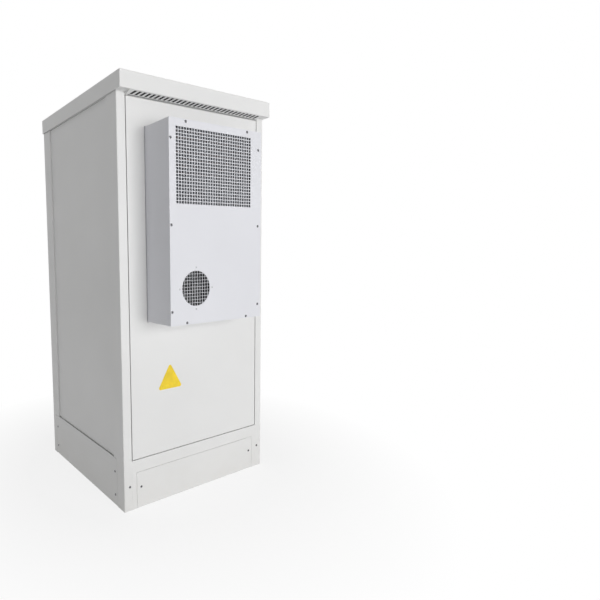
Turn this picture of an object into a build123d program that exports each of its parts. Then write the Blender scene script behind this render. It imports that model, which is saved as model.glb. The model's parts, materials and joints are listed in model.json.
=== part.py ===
"""Outdoor equipment cabinet on a plinth, with a door-mounted cooling unit.

All lengths are millimetres. X runs to the right as seen from the front, the front faces -Y, and +Z is
up. The origin is the centre of the footprint at ground level. Drawings of the body are dimensioned
from its front left bottom corner: across from the left side, deep from the front face, up from the
ground.
"""

import os
from math import acos, cos, pi, radians, sin, tan

from build123d import *

os.makedirs("parts", exist_ok=True)

# Body: a 19-inch rail opening with its rail faces and a cable space on each side
rail_opening = 450.0
rail_face = 22.0
side_bay = 128.0
body_width = rail_opening + 2 * (rail_face + side_bay)
body_depth = 725.0
body_height = 1602.0
plinth_height = 200.0
sheet = 2.0
heavy_sheet = 4.0
fine_sheet = 1.5
touch_gap = 0.3

# Corner posts and wall panels
post_face = 37.0
front_post_side = 80.0
rear_post_side = 75.0
rear_post_face = 60.0
panel_recess = 6.0
panel_seat = 20.0
panel_gap = 1.0
post_bend_radius = 3.0
side_rib_heights = (740.0, 1040.0)
side_rib_depth = 15.0

# Roof
roof_height = 63.0
roof_side_overhang = 5.0
roof_front_overhang = 38.0
roof_rear_overhang = 3.0
roof_edge_radius = 3.0
roof_ring_seat = 40.0
vent_slot_pitch = 20.0
vent_slot_width = 10.0
vent_margin = 18.0
vent_end_margin = 64.0

# Plinth
front_plinth_inset = 58.0
front_plinth_panel_height = 149.0
plinth_panel_gap = 1.0
plinth_corner_radius = 5.0
side_plinth_front = 55.0
side_plinth_rear = 687.0
ground_gap = 2.0
base_upright_leg = 90.0
base_ring_width = 55.0
base_ring_height = 40.0
base_flange_width = 30.0
anchor_spacing_x = 676.0
anchor_spacing_y = 651.0
anchor_hole_radius = 7.0

# Door frame
head_rail_height = 9.0
rebate_depth = 35.0
lip_side_inset = 39.0
lip_end_inset = 13.0
lip_width = 10.0
lip_depth = 18.0
opening_return_depth = 60.0

# Door
door_gap = 3.5
door_fold = 24.0
gasket_width = 20.0
door_ring_gap = 1.0
door_ring_height = 12.0
door_ring_width = 10.0
crossbar_height = 16.0
crossbar_gap = 14.0
tab_width = 15.0
tab_height = 38.0
tab_reach = 16.0
tab_places = (175.0, 369.0, body_width - 200.0)
liner_thickness = 10.0
liner_gap = 1.0
knockout_across = 258.0
knockout_up = 519.0
knockout_radius = 42.0
knockout_groove = 2.0
knockout_groove_depth = 1.5
stud_offset = 81.0
stud_radius = 3.0
stud_length = 14.0

# Hinges
hinge_heights = (357.0, 898.0, body_height - 160.0)
hinge_inset_across = 13.5
hinge_inset_deep = 8.6
hinge_pin_radius = 3.0
hinge_knuckle_radius = 6.0
frame_knuckle_length = 20.0
door_knuckle_length = 38.0
knuckle_gap = 0.5
hinge_arm_thickness = 3.0
hinge_notch_margin = 3.0
hinge_notch_depth = 7.0
pin_head_radius = 5.0
pin_head_height = 2.5

# Cooling unit, placed in the door by its distances from the body's edges
ac_left = 121.0
ac_right_inset = 172.0
ac_bottom = 746.0
ac_top_inset = 113.0
ac_right = body_width - ac_right_inset
ac_top = body_height - ac_top_inset
ac_front_reach = 156.0
ac_back_reach = 25.0
ac_cutout_gap = 2.0
ac_flange_side = 22.0
ac_flange_end = 12.0
ac_seal = 3.0
ac_edge_radius = 3.0
cover_lip = 16.5
partition_deep = -45.0
intake_inset_left = 29.0
intake_inset_right = 57.0
intake_inset_top = 27.0
intake_rise = 443.0
intake_columns = 15
intake_rows = 12
grille_bar = 4.0
fan_grille_across = ac_left + 119.0
fan_grille_up = ac_bottom + 134.0
fan_grille_radius = 66.0
fan_grille_cells = 6
inner_fan_across = ac_right - 133.0
inner_fan_up = ac_top - 132.0
inner_slot_rows = 14
inner_slot_height = 5.0
supply_inset_left = 63.0
supply_inset_right = 53.0
supply_rise = 109.0
supply_height = 155.0
supply_rows = 13
supply_columns = 4
supply_slot_height = 6.0
supply_slot_gap = 5.0

# Fans
fan_radius = 58.0
fan_hub_radius = 20.0
fan_blades = 5
fan_front_gap = 3.0
hub_length = 18.0
blade_chord = 26.0
blade_thickness = 1.5
blade_root_depth = 6.0
blade_root_pitch = 38.0
blade_tip_pitch = 22.0
shroud_radius = 63.0
shroud_wall = 3.0
shroud_depth = 44.0
motor_radius = 22.0
motor_length = 20.0
fan_shaft_radius = 3.0
fan_shaft_seat = 14.0
strut_width = 8.0

# Coils and compressor
fin_pitch = 12.0
fin_thickness = 1.0
fin_depth = 28.0
coil_core = 8.0
coil_setback = 6.0
coil_margin = 6.0
compressor_radius = 46.0
compressor_height = 150.0
compressor_across = ac_right - 98.0
compressor_foot = 10.0
compressor_foot_width = 84.0

# Lock
lock_across = body_width - 127.0
handle_pivot_up = 868.0
handle_pivot_front = 7.0
handle_lift = 45.0
handle_length = 112.0
handle_width = 24.0
handle_thickness = 8.0
handle_back_gap = 0.5
handle_neck_length = 12.0
handle_hub_radius = 6.0
handle_pin_radius = 3.0
handle_corner_radius = 5.0
handle_ear = 4.0
handle_ear_radius = 6.5
handle_ear_gap = 1.0
running_clearance = 0.05
cheek_width = 18.0
cheek_plate = 3.0
cheek_radius = 56.0
cheek_angle = 50.0
cheek_slot_margin = 1.0
base_width = 34.0
base_thickness = 6.0
base_bottom = 744.0
base_top = 900.0
base_corner_radius = 8.0
housing_width = 42.0
housing_bottom = 742.0
housing_top = 887.0
housing_depth = 37.5
housing_wall = 3.0
housing_corner_radius = 6.0
cylinder_radius = 8.0
cylinder_offset = 66.0
key_slot = (2.2, 9.0)
key_slot_depth = 4.0
flap_length = 34.0
flap_thickness = 2.0
flap_width = 18.0
flap_barrel_radius = 2.2
flap_pin_radius = 1.0
flap_hinge_offset = 46.0

# Rod drive
gear_up = 914.0
gear_module = 2.0
gear_teeth = 12
gear_width = 7.5
pressure_angle = 20.0
tooth_backlash = 0.3
pinion_addendum = 1.6
rack_addendum = 1.3
tooth_bottom_gap = 0.4
gear_shaft_radius = 5.0
gear_shaft_seat = 12.0
gear_hub_radius = 8.0
gear_hub_height = 2.0
gear_case_radius = 26.0
gear_case_wall = 4.0
gear_case_plate = 2.5
gear_case_rim = 4.0
gear_slot_margin = 1.0
gear_boss_radius = 14.0
rod_deep = 46.0
rod_radius = 4.0
rod_clearance = 0.4
rack_teeth = 9
rack_back = 4.5
rod_end_gap = 4.0
rod_hole_radius = 5.0
guide_thickness = 3.0
guide_margin = 4.0
guide_foot = 12.0
top_guide_heights = (1010.0, 1270.0, body_height - 62.0)
bottom_guide_heights = (290.0, 500.0, 700.0)

# Equipment bay
floor_up = plinth_height + 22.0
ceiling_up = body_height - 12.0
plate_flange = 18.0
gland_deep = 140.0
gland_side_inset = 90.0
gland_group_gap = 109.0
gland_pitch = 58.5
gland_base_radius = 26.0
gland_tip_radius = 10.0
gland_neck_radius = 10.0
gland_height = 52.0
gland_collar = 4.0
rail_hole_spacing = 465.1
front_rail_deep = 170.0
rear_rail_deep = 480.0
rail_web = 35.0
rack_unit = 44.45
rail_hole = 9.5
rail_hole_up = 260.0
brace_heights = (349.0, 596.0, 892.0, 1191.0, ceiling_up - 81.0)
brace_leg = 25.0
arm_heights = (858.0, 1020.0, 1180.0)
arm_reach = 60.0
arm_leg = 30.0
strip_up = ceiling_up - 375.0
strip_height = 205.0
strip_left = 66.0
strip_gap = 12.0
strip_width = side_bay - strip_gap - strip_left
strip_deep = 240.0
strip_hole = 7.0
strip_rows = 12
earth_gap = 12.0
earth_foot = 40.0
earth_left = body_width - side_bay + earth_gap
earth_width = side_bay - earth_gap - earth_foot
earth_up = 482.0
earth_height = 86.0
lamp_size = (70.0, 50.0, 32.0)
lamp_place = (180.0, 136.0)
driver_size = (90.0, 110.0, 40.0)
driver_place = (268.0, 200.0)
controller_left = ac_left + 79.0
controller_up = ac_top - 114.0
controller_width = 57.0
controller_height = 62.0
controller_depth = 5.0
screen_margin = 6.0
screen_height = 28.0
screen_depth = 1.0
key_size = 8.0
key_height = 1.5
terminal_places = ((ac_left + 68.0, ac_top - 188.0), (ac_left + 69.0, ac_top - 227.0))
terminal_size = (26.0, 12.0, 16.0)
terminal_ways = 4
terminal_way = 3.5

left = -body_width / 2
front = -body_depth / 2


def plan(up):
    """Horizontal drawing plane seen from above, dimensioned from the front left corner."""
    return Plane(origin=(left, front, up), x_dir=(1, 0, 0), z_dir=(0, 0, 1))


def elevation(deep):
    """Vertical drawing plane seen from the front; extrusions grow towards the viewer."""
    return Plane(origin=(left, front + deep, 0), x_dir=(1, 0, 0), z_dir=(0, -1, 0))


def side(across):
    """Vertical drawing plane across the width: first axis deep, second axis up, grows to the right."""
    return Plane(origin=(left + across, front, 0), x_dir=(0, 1, 0), z_dir=(1, 0, 0))


def span(low, high, mode=Mode.ADD):
    """Rectangle in the current drawing, given by two opposite corners."""
    with Locations(((low[0] + high[0]) / 2, (low[1] + high[1]) / 2)):
        return Rectangle(high[0] - low[0], high[1] - low[1], mode=mode)


def block(across, deep, up, mode=Mode.ADD):
    """Box between two faces on each axis, dimensioned from the front left bottom corner."""
    centre = (left + sum(across) / 2, front + sum(deep) / 2, sum(up) / 2)
    with Locations(centre):
        return Box(across[1] - across[0], deep[1] - deep[0], up[1] - up[0], mode=mode)


def folded_section(plane, points, thickness=sheet, bend=Side.RIGHT):
    """Section of a folded sheet: its outer line and the sheet thickness to one side of it."""
    with BuildSketch(plane) as section:
        with BuildLine():
            Polyline(*points)
            offset(amount=thickness, side=bend, kind=Kind.INTERSECTION)
        make_face()
    return section.sketch


def frame_sketch(plane, low, high, inset_across, inset_up):
    """Rectangular ring, given by its outer corners and the widths of its sides and ends."""
    with BuildSketch(plane) as ring:
        span(low, high)
        span(
            (low[0] + inset_across, low[1] + inset_up),
            (high[0] - inset_across, high[1] - inset_up),
            mode=Mode.SUBTRACT,
        )
    return ring.sketch


def finish(builder, name):
    """Name a finished piece and write it."""
    builder.part.label = name
    export_step(builder.part, f"parts/{name}.step")


def mirrored(builder):
    """The same piece on the other side of the cabinet."""
    return mirror(builder.part, about=Plane.YZ, mode=Mode.PRIVATE)


# Corner posts
front_post_points = [
    (post_face, rebate_depth + sheet),
    (post_face, 0),
    (0, 0),
    (0, front_post_side),
    (panel_recess + sheet, front_post_side),
    (panel_recess + sheet, front_post_side + panel_seat),
]
rear_seat_start = body_depth - rear_post_side - panel_seat
rear_post_points = [
    (panel_recess + sheet, rear_seat_start),
    (panel_recess + sheet, body_depth - rear_post_side),
    (0, body_depth - rear_post_side),
    (0, body_depth),
    (rear_post_face, body_depth),
    (rear_post_face, body_depth - panel_recess - sheet),
    (rear_post_face + panel_seat, body_depth - panel_recess - sheet),
]

with BuildPart() as front_left_post:
    extrude(folded_section(plan(0), front_post_points), amount=body_height)
    # Below the rail only a plain corner angle is left, in front of the plinth side panel.
    block((sheet, front_post_side), (sheet, front_post_side + panel_seat), (0, plinth_height), Mode.SUBTRACT)
    block((0, sheet), (side_plinth_front, front_post_side), (0, plinth_height), Mode.SUBTRACT)
    corner = front_left_post.edges().filter_by(Axis.Z).sort_by_distance((left, front, body_height))[0]
    fillet(corner, post_bend_radius)
finish(front_left_post, "front_left_post")

with BuildPart() as front_right_post:
    add(mirrored(front_left_post))
finish(front_right_post, "front_right_post")

with BuildPart() as rear_left_post:
    extrude(folded_section(plan(0), rear_post_points), amount=body_height)
    plinth_zone = (0, plinth_height)
    block((sheet, 2 * rear_post_face), (rear_seat_start, body_depth - sheet), plinth_zone, Mode.SUBTRACT)
    block((0, sheet), (rear_seat_start, side_plinth_rear), plinth_zone, Mode.SUBTRACT)
    rear_corner = (left, -front, body_height)
    corner = rear_left_post.edges().filter_by(Axis.Z).sort_by_distance(rear_corner)[0]
    fillet(corner, post_bend_radius)
finish(rear_left_post, "rear_left_post")

with BuildPart() as rear_right_post:
    add(mirrored(rear_left_post))
finish(rear_right_post, "rear_right_post")

# Welded plinth frame: a lower angle ring with the anchor holes, four corner uprights and an upper ring
upper_ring_front = rebate_depth + sheet
base_top_up = plinth_height - sheet
ring_low = (sheet, sheet)
ring_high = (body_width - sheet, body_depth - sheet)
with BuildPart() as base_frame:
    extrude(frame_sketch(plan(0), ring_low, ring_high, base_ring_width, base_ring_width), amount=heavy_sheet)
    extrude(frame_sketch(plan(0), ring_low, ring_high, heavy_sheet, heavy_sheet), amount=base_ring_height)
    with BuildSketch(plan(0)) as uprights:
        span(ring_low, ring_high)
        span(
            (sheet + heavy_sheet, sheet + heavy_sheet),
            (body_width - sheet - heavy_sheet, body_depth - sheet - heavy_sheet),
            mode=Mode.SUBTRACT,
        )
        leg_end = sheet + base_upright_leg
        span((leg_end, 0), (body_width - leg_end, body_depth), Mode.SUBTRACT)
        span((0, leg_end), (body_width, body_depth - leg_end), Mode.SUBTRACT)
    extrude(amount=base_top_up)
    upper_low = (sheet, upper_ring_front)
    upper_leg = frame_sketch(
        plan(base_top_up - base_ring_height), upper_low, ring_high, heavy_sheet, heavy_sheet
    )
    extrude(upper_leg, amount=base_ring_height)
    upper_flange = frame_sketch(
        plan(base_top_up - heavy_sheet), upper_low, ring_high, base_flange_width, base_flange_width
    )
    extrude(upper_flange, amount=heavy_sheet)
    with Locations(Plane((0, 0, heavy_sheet))):
        with GridLocations(anchor_spacing_x, anchor_spacing_y, 2, 2):
            Hole(anchor_hole_radius, depth=2 * heavy_sheet)
finish(base_frame, "base_frame")

# Front rail of the plinth with its two short legs, and the rebate sill behind it
with BuildPart() as plinth_front_frame:
    with BuildSketch(elevation(sheet)):
        span((post_face, 0), (body_width - post_face, plinth_height))
        span(
            (front_plinth_inset, 0),
            (body_width - front_plinth_inset, front_plinth_panel_height),
            mode=Mode.SUBTRACT,
        )
    extrude(amount=sheet)
    block(
        (post_face, body_width - post_face),
        (sheet, rebate_depth + 2 * sheet),
        (plinth_height - sheet, plinth_height),
    )
finish(plinth_front_frame, "plinth_front_frame")

# Door frame: flange behind the door, raised sealing lip, opening return and head rail
rebate_left = post_face
rebate_right = body_width - post_face
rebate_top = body_height - head_rail_height
lip_left = rebate_left + lip_side_inset
lip_right = rebate_right - lip_side_inset
lip_bottom = plinth_height + lip_end_inset
lip_top = rebate_top - lip_end_inset
opening_left = lip_left + lip_width
opening_right = lip_right - lip_width
opening_bottom = lip_bottom + lip_width
opening_top = lip_top - lip_width
top_rod_across = lock_across + gear_module * gear_teeth / 2 + rod_radius - touch_gap
bottom_rod_across = 2 * lock_across - top_rod_across

with BuildPart() as door_frame:
    flange_ring = frame_sketch(
        elevation(rebate_depth + sheet),
        (rebate_left, plinth_height),
        (rebate_right, rebate_top),
        lip_side_inset,
        lip_end_inset,
    )
    extrude(flange_ring, amount=sheet)
    block((rebate_left, rebate_right), (rebate_depth, rebate_depth + sheet), (lip_top, body_height))
    lip_low = (lip_left, lip_bottom)
    lip_high = (lip_right, lip_top)
    lip_wall = frame_sketch(elevation(rebate_depth + sheet), lip_low, lip_high, sheet, sheet)
    extrude(lip_wall, amount=rebate_depth + sheet - lip_depth)
    lip_face = frame_sketch(elevation(lip_depth + sheet), lip_low, lip_high, lip_width, lip_width)
    extrude(lip_face, amount=sheet)
    return_low = (opening_left - sheet, opening_bottom - sheet)
    return_high = (opening_right + sheet, opening_top + sheet)
    opening_return = frame_sketch(elevation(opening_return_depth), return_low, return_high, sheet, sheet)
    extrude(opening_return, amount=opening_return_depth - lip_depth)
    block((rebate_left, rebate_right), (0, sheet), (rebate_top, body_height))
    block((rebate_left, rebate_right), (sheet, rebate_depth), (rebate_top, rebate_top + sheet))
    with BuildSketch(plan(opening_top)):
        with Locations((top_rod_across, rod_deep)):
            Circle(rod_hole_radius)
    extrude(amount=sheet, mode=Mode.SUBTRACT)
    with BuildSketch(plan(opening_bottom - sheet)):
        with Locations((bottom_rod_across, rod_deep)):
            Circle(rod_hole_radius)
    extrude(amount=sheet, mode=Mode.SUBTRACT)
finish(door_frame, "door_frame")

# Top ring: an inward facing channel that stands on the posts and carries the roof
with BuildPart() as top_frame:
    ring_top = (body_width, body_depth)
    extrude(frame_sketch(plan(body_height), (0, 0), ring_top, roof_ring_seat, roof_ring_seat), amount=sheet)
    web_height = roof_height - sheet
    extrude(frame_sketch(plan(body_height), (0, 0), ring_top, sheet, sheet), amount=web_height)
    ring_seat = frame_sketch(
        plan(body_height + roof_height - 2 * sheet), (0, 0), ring_top, roof_ring_seat / 2, roof_ring_seat / 2
    )
    extrude(ring_seat, amount=sheet)
finish(top_frame, "top_frame")

# Roof pan with a deep front overhang
roof_low = (-roof_side_overhang, -roof_front_overhang)
roof_high = (body_width + roof_side_overhang, body_depth + roof_rear_overhang)
with BuildPart() as roof_cover:
    with BuildSketch(plan(body_height)):
        span(roof_low, roof_high)
    extrude(amount=roof_height)
    fillet(roof_cover.edges().filter_by(Axis.Z), roof_edge_radius)
    fillet(roof_cover.faces().sort_by(Axis.Z)[-1].edges(), roof_edge_radius)
    with BuildSketch(plan(body_height)):
        span(
            (roof_low[0] + sheet, roof_low[1] + sheet),
            (roof_high[0] - sheet, roof_high[1] - sheet),
        )
    extrude(amount=roof_height - sheet, mode=Mode.SUBTRACT)
finish(roof_cover, "roof_cover")

# Slotted strip that closes the underside of the overhang
vent_columns = int((body_width - 2 * vent_end_margin) // vent_slot_pitch) + 1
with BuildPart() as roof_vent_strip:
    block(
        (roof_low[0] + sheet, roof_high[0] - sheet),
        (roof_low[1] + sheet, 0),
        (body_height, body_height + sheet),
    )
    with BuildSketch(plan(body_height)):
        with Locations((body_width / 2, (roof_low[1] + sheet) / 2)):
            with GridLocations(vent_slot_pitch, 1, vent_columns, 1):
                Rectangle(vent_slot_width, roof_front_overhang - vent_margin)
    extrude(amount=sheet, mode=Mode.SUBTRACT)
finish(roof_vent_strip, "roof_vent_strip")

# Side and rear wall panels, recessed between the posts
panel_low_up = plinth_height + panel_gap
panel_high_up = body_height - panel_gap
with BuildPart() as left_side_panel:
    block(
        (panel_recess, panel_recess + sheet),
        (front_post_side + panel_gap, body_depth - rear_post_side - panel_gap),
        (panel_low_up, panel_high_up),
    )
finish(left_side_panel, "left_side_panel")

with BuildPart() as right_side_panel:
    add(mirrored(left_side_panel))
finish(right_side_panel, "right_side_panel")

rear_face = body_depth - panel_recess
with BuildPart() as rear_panel:
    block(
        (rear_post_face + panel_gap, body_width - rear_post_face - panel_gap),
        (rear_face - sheet, rear_face),
        (panel_low_up, panel_high_up),
    )
    rib_ends = (
        rear_post_face + panel_seat + panel_gap,
        body_width - rear_post_face - panel_seat - panel_gap,
    )
    for rib_up in side_rib_heights:
        rib_inner = rear_face - sheet - side_rib_depth
        block(rib_ends, (rib_inner, rear_face - sheet), (rib_up, rib_up + sheet))
        block(rib_ends, (rib_inner, rib_inner + sheet), (rib_up - side_rib_depth, rib_up))
finish(rear_panel, "rear_panel")

# Plinth panels
with BuildPart() as front_plinth_panel:
    with BuildSketch(elevation(sheet)):
        panel_start = front_plinth_inset + plinth_panel_gap
        span(
            (panel_start, ground_gap),
            (body_width - panel_start, front_plinth_panel_height - plinth_panel_gap),
        )
    extrude(amount=sheet)
    upper_corners = front_plinth_panel.edges().filter_by(Axis.Y).group_by(Axis.Z)[-1]
    fillet(upper_corners, plinth_corner_radius)
finish(front_plinth_panel, "front_plinth_panel")

with BuildPart() as left_plinth_panel:
    block(
        (0, sheet),
        (side_plinth_front + plinth_panel_gap, side_plinth_rear - plinth_panel_gap),
        (ground_gap, plinth_height - plinth_panel_gap),
    )
finish(left_plinth_panel, "left_plinth_panel")

with BuildPart() as right_plinth_panel:
    add(mirrored(left_plinth_panel))
finish(right_plinth_panel, "right_plinth_panel")

with BuildPart() as rear_plinth_panel:
    block(
        (rear_post_face + plinth_panel_gap, body_width - rear_post_face - plinth_panel_gap),
        (body_depth - sheet, body_depth),
        (ground_gap, plinth_height - plinth_panel_gap),
    )
finish(rear_plinth_panel, "rear_plinth_panel")

# Floor and ceiling plates with folded edges
plate_left = panel_recess + 2 * sheet
plate_right = body_width - plate_left
plate_front = opening_return_depth + sheet
plate_rear = rear_face - 2 * sheet
outer_gland = body_width / 2 - gland_side_inset
group_edge = outer_gland - gland_group_gap
group_count = int(group_edge // gland_pitch)
gland_offsets = [group_edge - number * gland_pitch for number in range(group_count)] + [outer_gland]
gland_places = [(body_width / 2 + hand * gap, gland_deep) for gap in gland_offsets for hand in (-1, 1)]
with BuildPart() as floor_plate:
    block((plate_left, plate_right), (plate_front, plate_rear), (floor_up - sheet, floor_up))
    skirt_low = (plate_left, plate_front)
    skirt = frame_sketch(plan(base_top_up), skirt_low, (plate_right, plate_rear), sheet, sheet)
    extrude(skirt, amount=floor_up - sheet - base_top_up)
    with BuildSketch(plan(floor_up - sheet)):
        with Locations(*gland_places):
            Circle(gland_neck_radius)
    extrude(amount=sheet, mode=Mode.SUBTRACT)
finish(floor_plate, "floor_plate")

with BuildPart() as ceiling_plate:
    block((plate_left, plate_right), (plate_front, plate_rear), (ceiling_up, ceiling_up + sheet))
    ceiling_skirt = frame_sketch(plan(ceiling_up), skirt_low, (plate_right, plate_rear), sheet, sheet)
    extrude(ceiling_skirt, amount=body_height - ceiling_up)
finish(ceiling_plate, "ceiling_plate")

# Closed conical cable entries, each with a groove that holds the edge of its floor hole
with BuildPart() as cable_glands:
    with BuildSketch(Plane.XZ) as gland_half:
        with BuildLine():
            Polyline(
                (0, -sheet - gland_collar),
                (gland_neck_radius + gland_collar, -sheet - gland_collar),
                (gland_neck_radius + gland_collar, -sheet),
                (gland_neck_radius, -sheet),
                (gland_neck_radius, 0),
                (gland_base_radius, 0),
                (gland_tip_radius, gland_height),
                (0, gland_height),
                close=True,
            )
        make_face()
    gland = revolve(gland_half.sketch, axis=Axis.Z, mode=Mode.PRIVATE)
    for place in gland_places:
        add(gland.moved(Location((left + place[0], front + place[1], floor_up))))
finish(cable_glands, "cable_glands")

# Mounting rails
rail_left = side_bay
rail_edge = rail_left + rail_face
rail_height = ceiling_up - floor_up
front_rail_points = [
    (rail_edge, front_rail_deep),
    (rail_left, front_rail_deep),
    (rail_left, front_rail_deep + rail_web),
]
rear_rail_points = [
    (rail_left, rear_rail_deep - rail_web),
    (rail_left, rear_rail_deep),
    (rail_edge, rear_rail_deep),
]
rail_hole_count = int((ceiling_up - rail_hole_up) // rack_unit)
with BuildPart() as front_rack_rails:
    extrude(folded_section(plan(floor_up), front_rail_points), amount=rail_height)
    with BuildSketch(elevation(front_rail_deep + sheet)):
        hole_middle = rail_hole_up + (rail_hole_count - 1) * rack_unit / 2
        with Locations(((body_width - rail_hole_spacing) / 2, hole_middle)):
            with GridLocations(1, rack_unit, 1, rail_hole_count):
                Rectangle(rail_hole, rail_hole)
    extrude(amount=sheet, mode=Mode.SUBTRACT)
    mirror(about=Plane.YZ)
finish(front_rack_rails, "front_rack_rails")

with BuildPart() as rear_rack_rails:
    extrude(folded_section(plan(floor_up), rear_rail_points), amount=rail_height)
    mirror(about=Plane.YZ)
finish(rear_rack_rails, "rear_rack_rails")

# Short angles that tie the rails to the side walls, and the folded ribs that stiffen those walls
with BuildPart() as rack_braces:
    brace_left = panel_recess + sheet
    rib_inner = brace_left + side_rib_depth
    rib_ends = (front_post_side + panel_seat + panel_gap, rear_seat_start - panel_gap)
    for rib_up in side_rib_heights:
        block((brace_left, rib_inner), rib_ends, (rib_up, rib_up + sheet))
        block((rib_inner - sheet, rib_inner), rib_ends, (rib_up - side_rib_depth, rib_up))
    brace_deep = (front_rail_deep + sheet, rear_rail_deep - sheet - brace_leg)
    for brace_up in brace_heights:
        for start in brace_deep:
            block((brace_left, rail_left), (start, start + brace_leg), (brace_up, brace_up + sheet))
            block((brace_left, rail_left), (start, start + sheet), (brace_up - brace_leg, brace_up))
    mirror(about=Plane.YZ)
finish(rack_braces, "rack_braces")

# Angle brackets between the front and the rear rails
arm_left = rail_left + sheet
arm_deep = (front_rail_deep + sheet, rear_rail_deep - sheet)
with BuildPart() as support_arms:
    for arm_up in arm_heights:
        with BuildSketch(elevation(arm_deep[1])):
            with BuildLine():
                Polyline(
                    (arm_left, arm_up - arm_leg),
                    (arm_left, arm_up),
                    (arm_left + arm_reach, arm_up),
                )
                offset(amount=sheet, side=Side.RIGHT, kind=Kind.INTERSECTION)
            make_face()
        extrude(amount=arm_deep[1] - arm_deep[0])
    mirror(about=Plane.YZ)
finish(support_arms, "support_arms")

# Perforated cable strip on a short bracket from the side wall
with BuildPart() as cable_strip:
    strip_ups = (strip_up, strip_up + strip_height)
    block((strip_left, strip_left + strip_width), (strip_deep, strip_deep + sheet), strip_ups)
    for arm_start in (strip_up, strip_up + strip_height - plate_flange):
        block(
            (panel_recess + sheet, strip_left),
            (strip_deep, strip_deep + sheet),
            (arm_start, arm_start + plate_flange),
        )
    with BuildSketch(elevation(strip_deep + sheet)):
        strip_middle = strip_left + strip_width / 2
        row_pitch = strip_height / (strip_rows + 1)
        for column in (-1, 1):
            column_up = strip_up + strip_height / 2 + column * row_pitch / 4
            with Locations((strip_middle + column * strip_hole, column_up)):
                with GridLocations(1, row_pitch, 1, strip_rows):
                    Rectangle(strip_hole, strip_hole)
    extrude(amount=sheet, mode=Mode.SUBTRACT)
finish(cable_strip, "cable_strip")

# Zinc plated earthing plate on the right
with BuildPart() as earth_plate:
    block(
        (earth_left, earth_left + earth_width),
        (front_rail_deep, front_rail_deep + sheet),
        (earth_up, earth_up + earth_height),
    )
    for foot_up in (earth_up, earth_up + earth_height - plate_flange):
        block(
            (earth_left + earth_width, body_width - panel_recess - sheet),
            (front_rail_deep, front_rail_deep + sheet),
            (foot_up, foot_up + plate_flange),
        )
finish(earth_plate, "earth_plate")

# Lamp and its driver under the ceiling
with BuildPart() as ceiling_lamp:
    block(
        (lamp_place[0] - lamp_size[0] / 2, lamp_place[0] + lamp_size[0] / 2),
        (lamp_place[1] - lamp_size[1] / 2, lamp_place[1] + lamp_size[1] / 2),
        (ceiling_up - lamp_size[2], ceiling_up),
    )
    fillet(ceiling_lamp.faces().sort_by(Axis.Z)[0].edges(), sheet)
finish(ceiling_lamp, "ceiling_lamp")

with BuildPart() as lamp_driver:
    block(
        (driver_place[0] - driver_size[0] / 2, driver_place[0] + driver_size[0] / 2),
        (driver_place[1] - driver_size[1] / 2, driver_place[1] + driver_size[1] / 2),
        (ceiling_up - driver_size[2], ceiling_up),
    )
    with BuildSketch(elevation(driver_place[1] - driver_size[1] / 2)):
        with Locations((driver_place[0], ceiling_up - driver_size[2])):
            with GridLocations(driver_size[0] / 9, 1, 9, 1):
                Rectangle(driver_size[0] / 18, driver_size[2] / 2)
    extrude(amount=-driver_size[1], mode=Mode.SUBTRACT)
finish(lamp_driver, "lamp_driver")

# Door tray
door_left = post_face + door_gap
door_right = body_width - door_left
door_bottom = plinth_height + door_gap
door_top = rebate_top - door_gap
hinge_across = door_left + hinge_inset_across
hinge_deep = hinge_inset_deep
hinge_height = 2 * (frame_knuckle_length + knuckle_gap) + door_knuckle_length
slot_half = cheek_width / 2 + cheek_slot_margin
slot_ups = (
    handle_pivot_up - cheek_radius - cheek_slot_margin,
    handle_pivot_up + handle_hub_radius + cheek_slot_margin,
)
slot_low = (lock_across - slot_half, slot_ups[0])
slot_high = (lock_across + slot_half, slot_ups[1])
with BuildPart() as door_skin:
    with BuildSketch(elevation(door_fold)):
        span((door_left, door_bottom), (door_right, door_top))
    extrude(amount=door_fold)
    fillet(door_skin.faces().sort_by(Axis.Y)[0].edges().filter_by(Axis.Z), fine_sheet)
    with BuildSketch(elevation(door_fold)):
        span((door_left + sheet, door_bottom + sheet), (door_right - sheet, door_top - sheet))
    extrude(amount=door_fold - sheet, mode=Mode.SUBTRACT)
    with BuildSketch(elevation(sheet)):
        span(
            (ac_left - ac_cutout_gap, ac_bottom - ac_cutout_gap),
            (ac_right + ac_cutout_gap, ac_top + ac_cutout_gap),
        )
        span(slot_low, slot_high)
    extrude(amount=sheet, mode=Mode.SUBTRACT)
    for hinge_up in hinge_heights:
        reach = hinge_height / 2 + hinge_notch_margin
        block(
            (door_left, door_left + sheet),
            (hinge_notch_depth, door_fold),
            (hinge_up - reach, hinge_up + reach),
            Mode.SUBTRACT,
        )
finish(door_skin, "door_skin")

# Foam seal, facing the raised lip of the frame
gasket_overhang = (gasket_width - lip_width) / 2
gasket_low = (lip_left - gasket_overhang, lip_bottom - gasket_overhang)
gasket_high = (lip_right + gasket_overhang, lip_top + gasket_overhang)
gasket_back = lip_depth - touch_gap
with BuildPart() as door_gasket:
    seal_ring = frame_sketch(elevation(gasket_back), gasket_low, gasket_high, gasket_width, gasket_width)
    extrude(seal_ring, amount=gasket_back - sheet)
    seal_centre = (0, 0, (gasket_low[1] + gasket_high[1]) / 2)
    outer_corners = door_gasket.edges().filter_by(Axis.Y).sort_by_distance(seal_centre)[-4:]
    fillet(outer_corners, gasket_width / 2)
finish(door_gasket, "door_gasket")

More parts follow.
